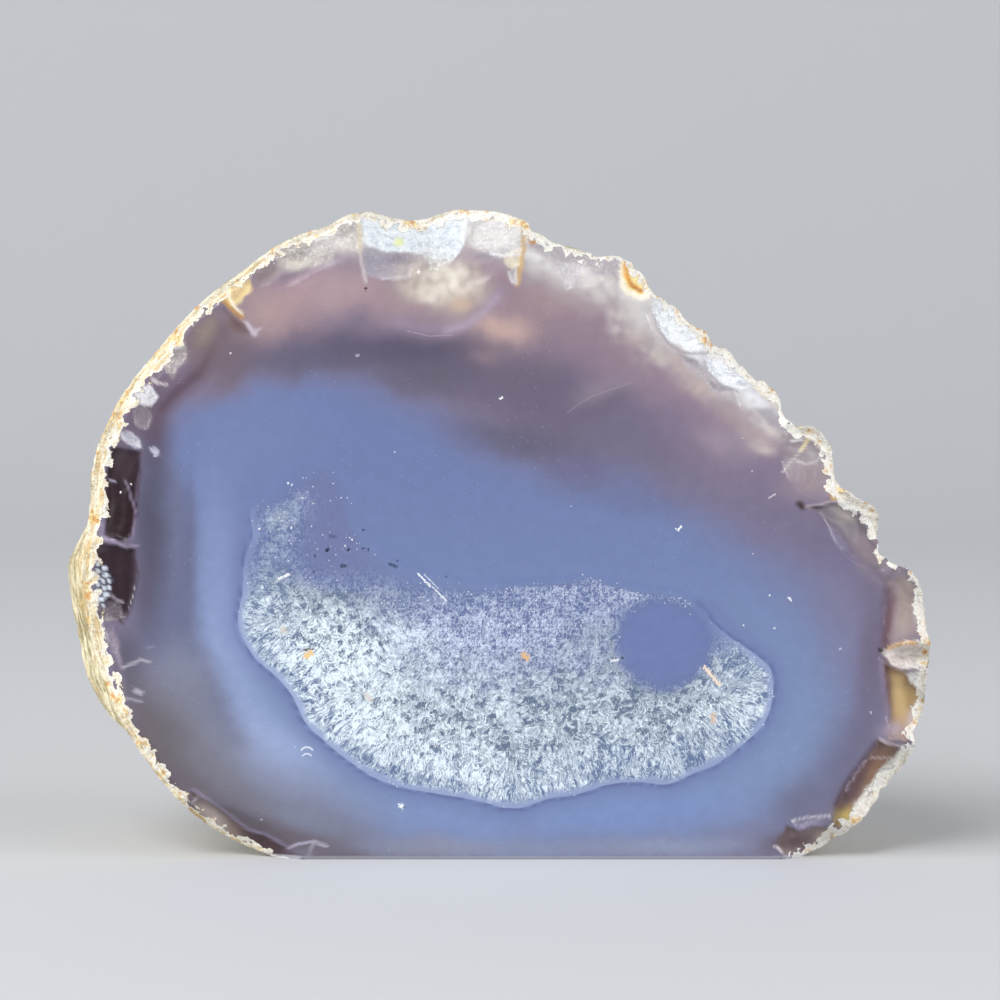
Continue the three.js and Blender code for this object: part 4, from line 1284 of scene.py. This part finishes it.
# All three carry the grains' painted shade and painted highlights.
needles = crystals(warped(scaled(fibre_mm, (2.5, 0.56, 0)), 0.9, 1.6), 0.3, 0.55)
grains = crystals(warped(scaled(flat, (1.15, 1.0, 0)), 0.5, 0.9), 0.16, 0.5)
fine = crystals(warped(scaled(flat, (2.1, 1.7, 0)), 0.8, 1.2), 0.3, 0.55)
bent = warped(fibre_mm, 1.1, 1.1)
threads = winding(noisy(scaled(bent, (1.7, 0.72, 0)), 1.0, 2, 0.6, sheet=True), 0.20)
gaps = winding(noisy(scaled(bent, (2.1, 0.85, 0)), 0.8, 2, 0.6, sheet=True), 0.22)
tangle = noisy(scaled(flat, (1.9, 1.5, 0)), 1.0, 2, 0.6, sheet=True, output="Color")
threads = mixed(fine_w, threads, winding(part(tangle, 0), 0.22))
gaps = mixed(fine_w, gaps, winding(part(tangle, 1), 0.22))
light = mixed(fine_w, mixed(needle_w, grains, needles), fine)
light = calc("MULTIPLY_ADD", gaps, -0.42, calc("MULTIPLY_ADD", threads, 0.55, light))
patchy = span(noisy(flat, 3.0, 2, 0.6, sheet=True), 0.3, 0.7, -0.72, -0.44)
level = calc("MULTIPLY", calc("ADD", light, patchy), 1.3)
level = calc("MULTIPLY", calc("MULTIPLY_ADD", frost_w, 0.78, level), frost_w)
dark = mixed(fine_w, mixed(needle_w, rgb("66758c"), rgb("637599")), rgb("64719c"))
pale = mixed(fine_w, rgb("ebf7fe"), rgb("dfe9fc"))
crystal = mixed(calc("ADD", level, 0.03, clamp=True), dark, pale)
milky = mixed(frost_w, rgb("747eaa"), rgb("a6b5d6"))
crystal = mixed(span(calc("MULTIPLY_ADD", wander, 0.9, from_low), 0.7, 1.6), milky, crystal)
in_quartz = calc("MULTIPLY", span(quartz_mm, -0.04, 0.10), span(frost_w, 0.02, 0.34))
base = mixed(in_quartz, base, crystal)
finish_material(with_marks(with_painted_glints(base)), calc("MULTIPLY_ADD", in_quartz, 0.12, 0.2))


# Crust in section: grit, cream to white, yellow where it is thick on the left and ochre in
# places, with painted shade in its crevices and a ragged white edge against the polish.
def crust_colours():
    grit = noisy(mm, 0.55, 3, 0.7)
    ragged = noisy(mm, 1.3, 3, 0.55)
    depth = calc("ADD", kept("crust"), span(ragged, 0.28, 0.72, -0.66, 0.66))
    layers = noisy(scaled(kept("rim_at", "Vector"), (0.22, 2.2, 0)), 1.0, 3, 0.65, sheet=True)
    white = mixed(span(grit, 0.35, 0.6), rgb("e6dfd2"), rgb("fffefa"))
    cream = mixed(span(layers, 0.35, 0.6), rgb("dcbd80"), rgb("fbf3d8"))
    cream = mixed(span(grit, 0.3, 0.5, 0.4, 0), cream, rgb("b3925a"))
    shade = mixed(span(part(mm, 0), -34, -8, 0.9, 0.22), white, cream)
    ochre = mixed(span(grit, 0.4, 0.6), rgb("d9953e"), rgb("f7e2a0"))
    shade = mixed(calc("MULTIPLY", span(noisy(mm, 2.3, 2, 0.65), 0.55, 0.65), 0.8), shade, ochre)
    # painted shade in the crevices
    shade = mixed(span(noisy(mm, 0.38, 2, 0.7), 0.60, 0.70, 0, 0.55), shade, rgb("75664f"))
    inner_edge = calc("MULTIPLY", span(depth, 0.03, 0.12), span(depth, 0.35, 0.8, 0.8, 0))
    return span(depth, -0.04, 0.08), mixed(calc("MULTIPLY", inner_edge, 0.8), shade, rgb("f8f8f4")), grit


# The chipped edge of the cut: chalky white in short brush-like strokes where it is bruised,
# clear chalcedony elsewhere, and the crust outside it.
start_material("agate_edge")
base = chalcedony()
chalk_w, chipped_w = kept("chalk"), kept("chipped")
brushed = noisy(scaled(mm, (0.55, 1, 1.25)), 0.75, 3, 0.65, 0.6)
chalk_light = mixed(span(brushed, 0.36, 0.54), rgb("cdd1d9"), rgb("ffffff"))
base = mixed(calc("MULTIPLY", chalk_w, 0.7), base, mixed(1.0, base, chalk_light, "MULTIPLY"))
bright_specks = span(noisy(flat, 0.45, 2, 0.6, sheet=True), 0.54, 0.64)
base = mixed(calc("MULTIPLY", calc("MULTIPLY", chalk_w, bright_specks), 0.5), base, rgb("fffefb"))
crust_w, crust_c, grit = crust_colours()
base = mixed(crust_w, with_marks(base), crust_c)
foot = span(part(mm, 2), 0.35, 0.6, 0.55, 0)
base = mixed(foot, base, rgb("d4d5de"))
rough = calc("MAXIMUM", calc("MULTIPLY_ADD", crust_w, 0.66, 0.2), calc("MULTIPLY", chipped_w, 0.5))
rough = calc("MAXIMUM", rough, calc("MULTIPLY", chalk_w, 0.62))
bump_height = calc("MULTIPLY_ADD", calc("MULTIPLY", chalk_w, brushed), 0.5, calc("MULTIPLY", crust_w, grit))
bump_height = calc("MULTIPLY_ADD", calc("MULTIPLY", chipped_w, noisy(mm, 1.1, 2)), 0.2, bump_height)
finish_material(base, rough, bump_height)

# Rind: tan and olive, wrinkled along the rim, with the crust's colours where it starts.
start_material("agate_rind")
crust_w, crust_c, grit = crust_colours()
base = mixed(crust_w, kept("tone", "Color"), crust_c)
rind_w = kept("rind")
wrinkled = noisy(scaled(mm, (0.42, 1.5, 0.42)), 1.4, 4, 0.62, 0.3)
rind_c = mixed(span(wrinkled, 0.36, 0.62), rgb("a3966e"), rgb("f6ecca"))
rind_c = mixed(span(noisy(mm, 4.5, 3, 0.6), 0.48, 0.66, 0, 0.6), rind_c, rgb("d8b876"))
rind_c = mixed(span(noisy(mm, 9.0, 2, 0.6), 0.50, 0.68, 0, 0.55), rind_c, rgb("b9b49a"))
cracks = span(noisy(scaled(mm, (0.6, 2.2, 0.6)), 0.8, 3, 0.7), 0.59, 0.69, 0, 0.65)
rind_c = mixed(cracks, rind_c, rgb("63573f"))
base = mixed(calc("MULTIPLY", rind_w, span(grit, 0.2, 0.5)), base, rind_c)
matt = calc("MAXIMUM", crust_w, rind_w)
bump_height = calc("MULTIPLY", matt, calc("MULTIPLY_ADD", wrinkled, 0.8, grit))
finish_material(base, calc("MULTIPLY_ADD", matt, 0.66, 0.2), bump_height)

# Saw cut underneath: the same bands dulled by the saw, with fine straight scratches.
start_material("agate_sawn")
crust_w, crust_c, grit = crust_colours()
scratch = noisy(scaled(mm, (0.05, 3.0, 1)), 0.6, 3, 0.6)
base = mixed(span(scratch, 0.3, 0.7, 0.12, 0.32), kept("tone", "Color"), rgb("c9c8cc"))
bump_height = calc("MULTIPLY_ADD", scratch, 0.3, calc("MULTIPLY", crust_w, grit))
finish_material(mixed(crust_w, base, crust_c), 0.86, bump_height)

# Which face has which material.
POLISH, QUARTZ, EDGE, RIND, SAWN = range(5)
corners = np.zeros(len(mesh.polygons) * 3, int)
mesh.polygons.foreach_get("vertices", corners)
corners = corners.reshape(-1, 3)


def at_corners(name):
    values = np.zeros(len(mesh.vertices))
    mesh.attributes[name].data.foreach_get("value", values)
    return values[corners]


which = np.full(len(corners), POLISH)
which[(at_corners("quartz") > -1.0).any(1)] = QUARTZ
chips = (at_corners("chipped") > 0.001).any(1) | (at_corners("chalk") > 0.001).any(1)
low_edge = centres[:, 2] < BEVEL + 0.3
which[(at_corners("crust") > -1.2).any(1) | chips | low_edge] = EDGE
which[(at_corners("rind") > 0.001).any(1)] = RIND
which[(at_corners("sawn") > 0.5).all(1)] = SAWN
mesh.polygons.foreach_set("material_index", which.astype(np.int32))

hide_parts("agate_end_piece")
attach(stone, "root")

# The floor that the stone is shown on: one pale matt sheet of paper, which curves up behind
# the stone. It is for the pictures alone.
FLOOR_WIDTH, FLOOR_FRONT, FLOOR_BACK, WALL_HEIGHT, BEND = 3.0, -1.6, 0.9, 1.6, 0.5
profile = [(FLOOR_FRONT, 0.0), (FLOOR_BACK - BEND, 0.0)]
profile += [
    (FLOOR_BACK - BEND + BEND * math.sin(a), BEND - BEND * math.cos(a))
    for a in np.linspace(0, math.pi / 2, 24)[1:]
]
profile.append((FLOOR_BACK, WALL_HEIGHT))
sheet_points = [(x, y, z) for y, z in profile for x in (-FLOOR_WIDTH / 2, FLOOR_WIDTH / 2)]
sheet_faces = [(2 * i, 2 * i + 1, 2 * i + 3, 2 * i + 2) for i in range(len(profile) - 1)]
sheet_mesh = bpy.data.meshes.new("floor")
sheet_mesh.from_pydata(sheet_points, [], sheet_faces)
sheet_mesh.polygons.foreach_set("use_smooth", [True] * len(sheet_faces))
paper = bpy.data.materials.new("paper")
paper.use_nodes = True
paper_shader = paper.node_tree.nodes["Principled BSDF"]
paper_shader.inputs["Base Color"].default_value = (0.62, 0.63, 0.65, 1)
paper_shader.inputs["Roughness"].default_value = 0.9
sheet_mesh.materials.append(paper)
floor = bpy.data.objects.new("floor", sheet_mesh)
bpy.context.scene.collection.objects.link(floor)

# The light, soft and plain: a big lamp above to the left, a weaker one on the right, a small
# one on each side, and a pale room.
AIM = Vector((0, 0, 0.045))


def lamp(name, at, width, power):
    data = bpy.data.lights.new(name, "AREA")
    data.shape, data.size, data.energy = "DISK", width, power
    thing = bpy.data.objects.new(name, data)
    thing.location = at
    thing.rotation_euler = (AIM - Vector(at)).to_track_quat("-Z", "Y").to_euler()
    bpy.context.scene.collection.objects.link(thing)


lamp("key", (-0.45, -0.75, 0.85), 0.7, 7.75)
lamp("fill", (0.8, -0.8, 0.5), 0.8, 2.0)
lamp("right", (0.85, -0.22, 0.3), 0.4, 3.2)
lamp("side", (-0.9, -0.22, 0.35), 0.4, 5)
world = bpy.data.worlds.new("room")
world.use_nodes = True
world.node_tree.nodes["Background"].inputs["Color"].default_value = (0.93, 0.95, 1.0, 1)
world.node_tree.nodes["Background"].inputs["Strength"].default_value = 0.34
bpy.context.scene.world = world
bpy.context.scene.view_settings.view_transform = "Standard"

# The camera: square on to the cut and a little above it.
CAMERA_DISTANCE = 0.62
CAMERA_RISE = math.radians(5)
SEEN_WIDTH = 0.126
camera = bpy.data.cameras.new("camera")
camera.lens = camera.sensor_width * CAMERA_DISTANCE / SEEN_WIDTH
camera.clip_start = 0.01
eye = bpy.data.objects.new("camera", camera)
look_at = Vector((shift[0] / 1000 + 0.0002, front, 0.0458))
eye.location = look_at + CAMERA_DISTANCE * Vector((0, -math.cos(CAMERA_RISE), math.sin(CAMERA_RISE)))
eye.rotation_euler = (look_at - eye.location).to_track_quat("-Z", "Y").to_euler()
bpy.context.scene.collection.objects.link(eye)
bpy.context.scene.camera = eye
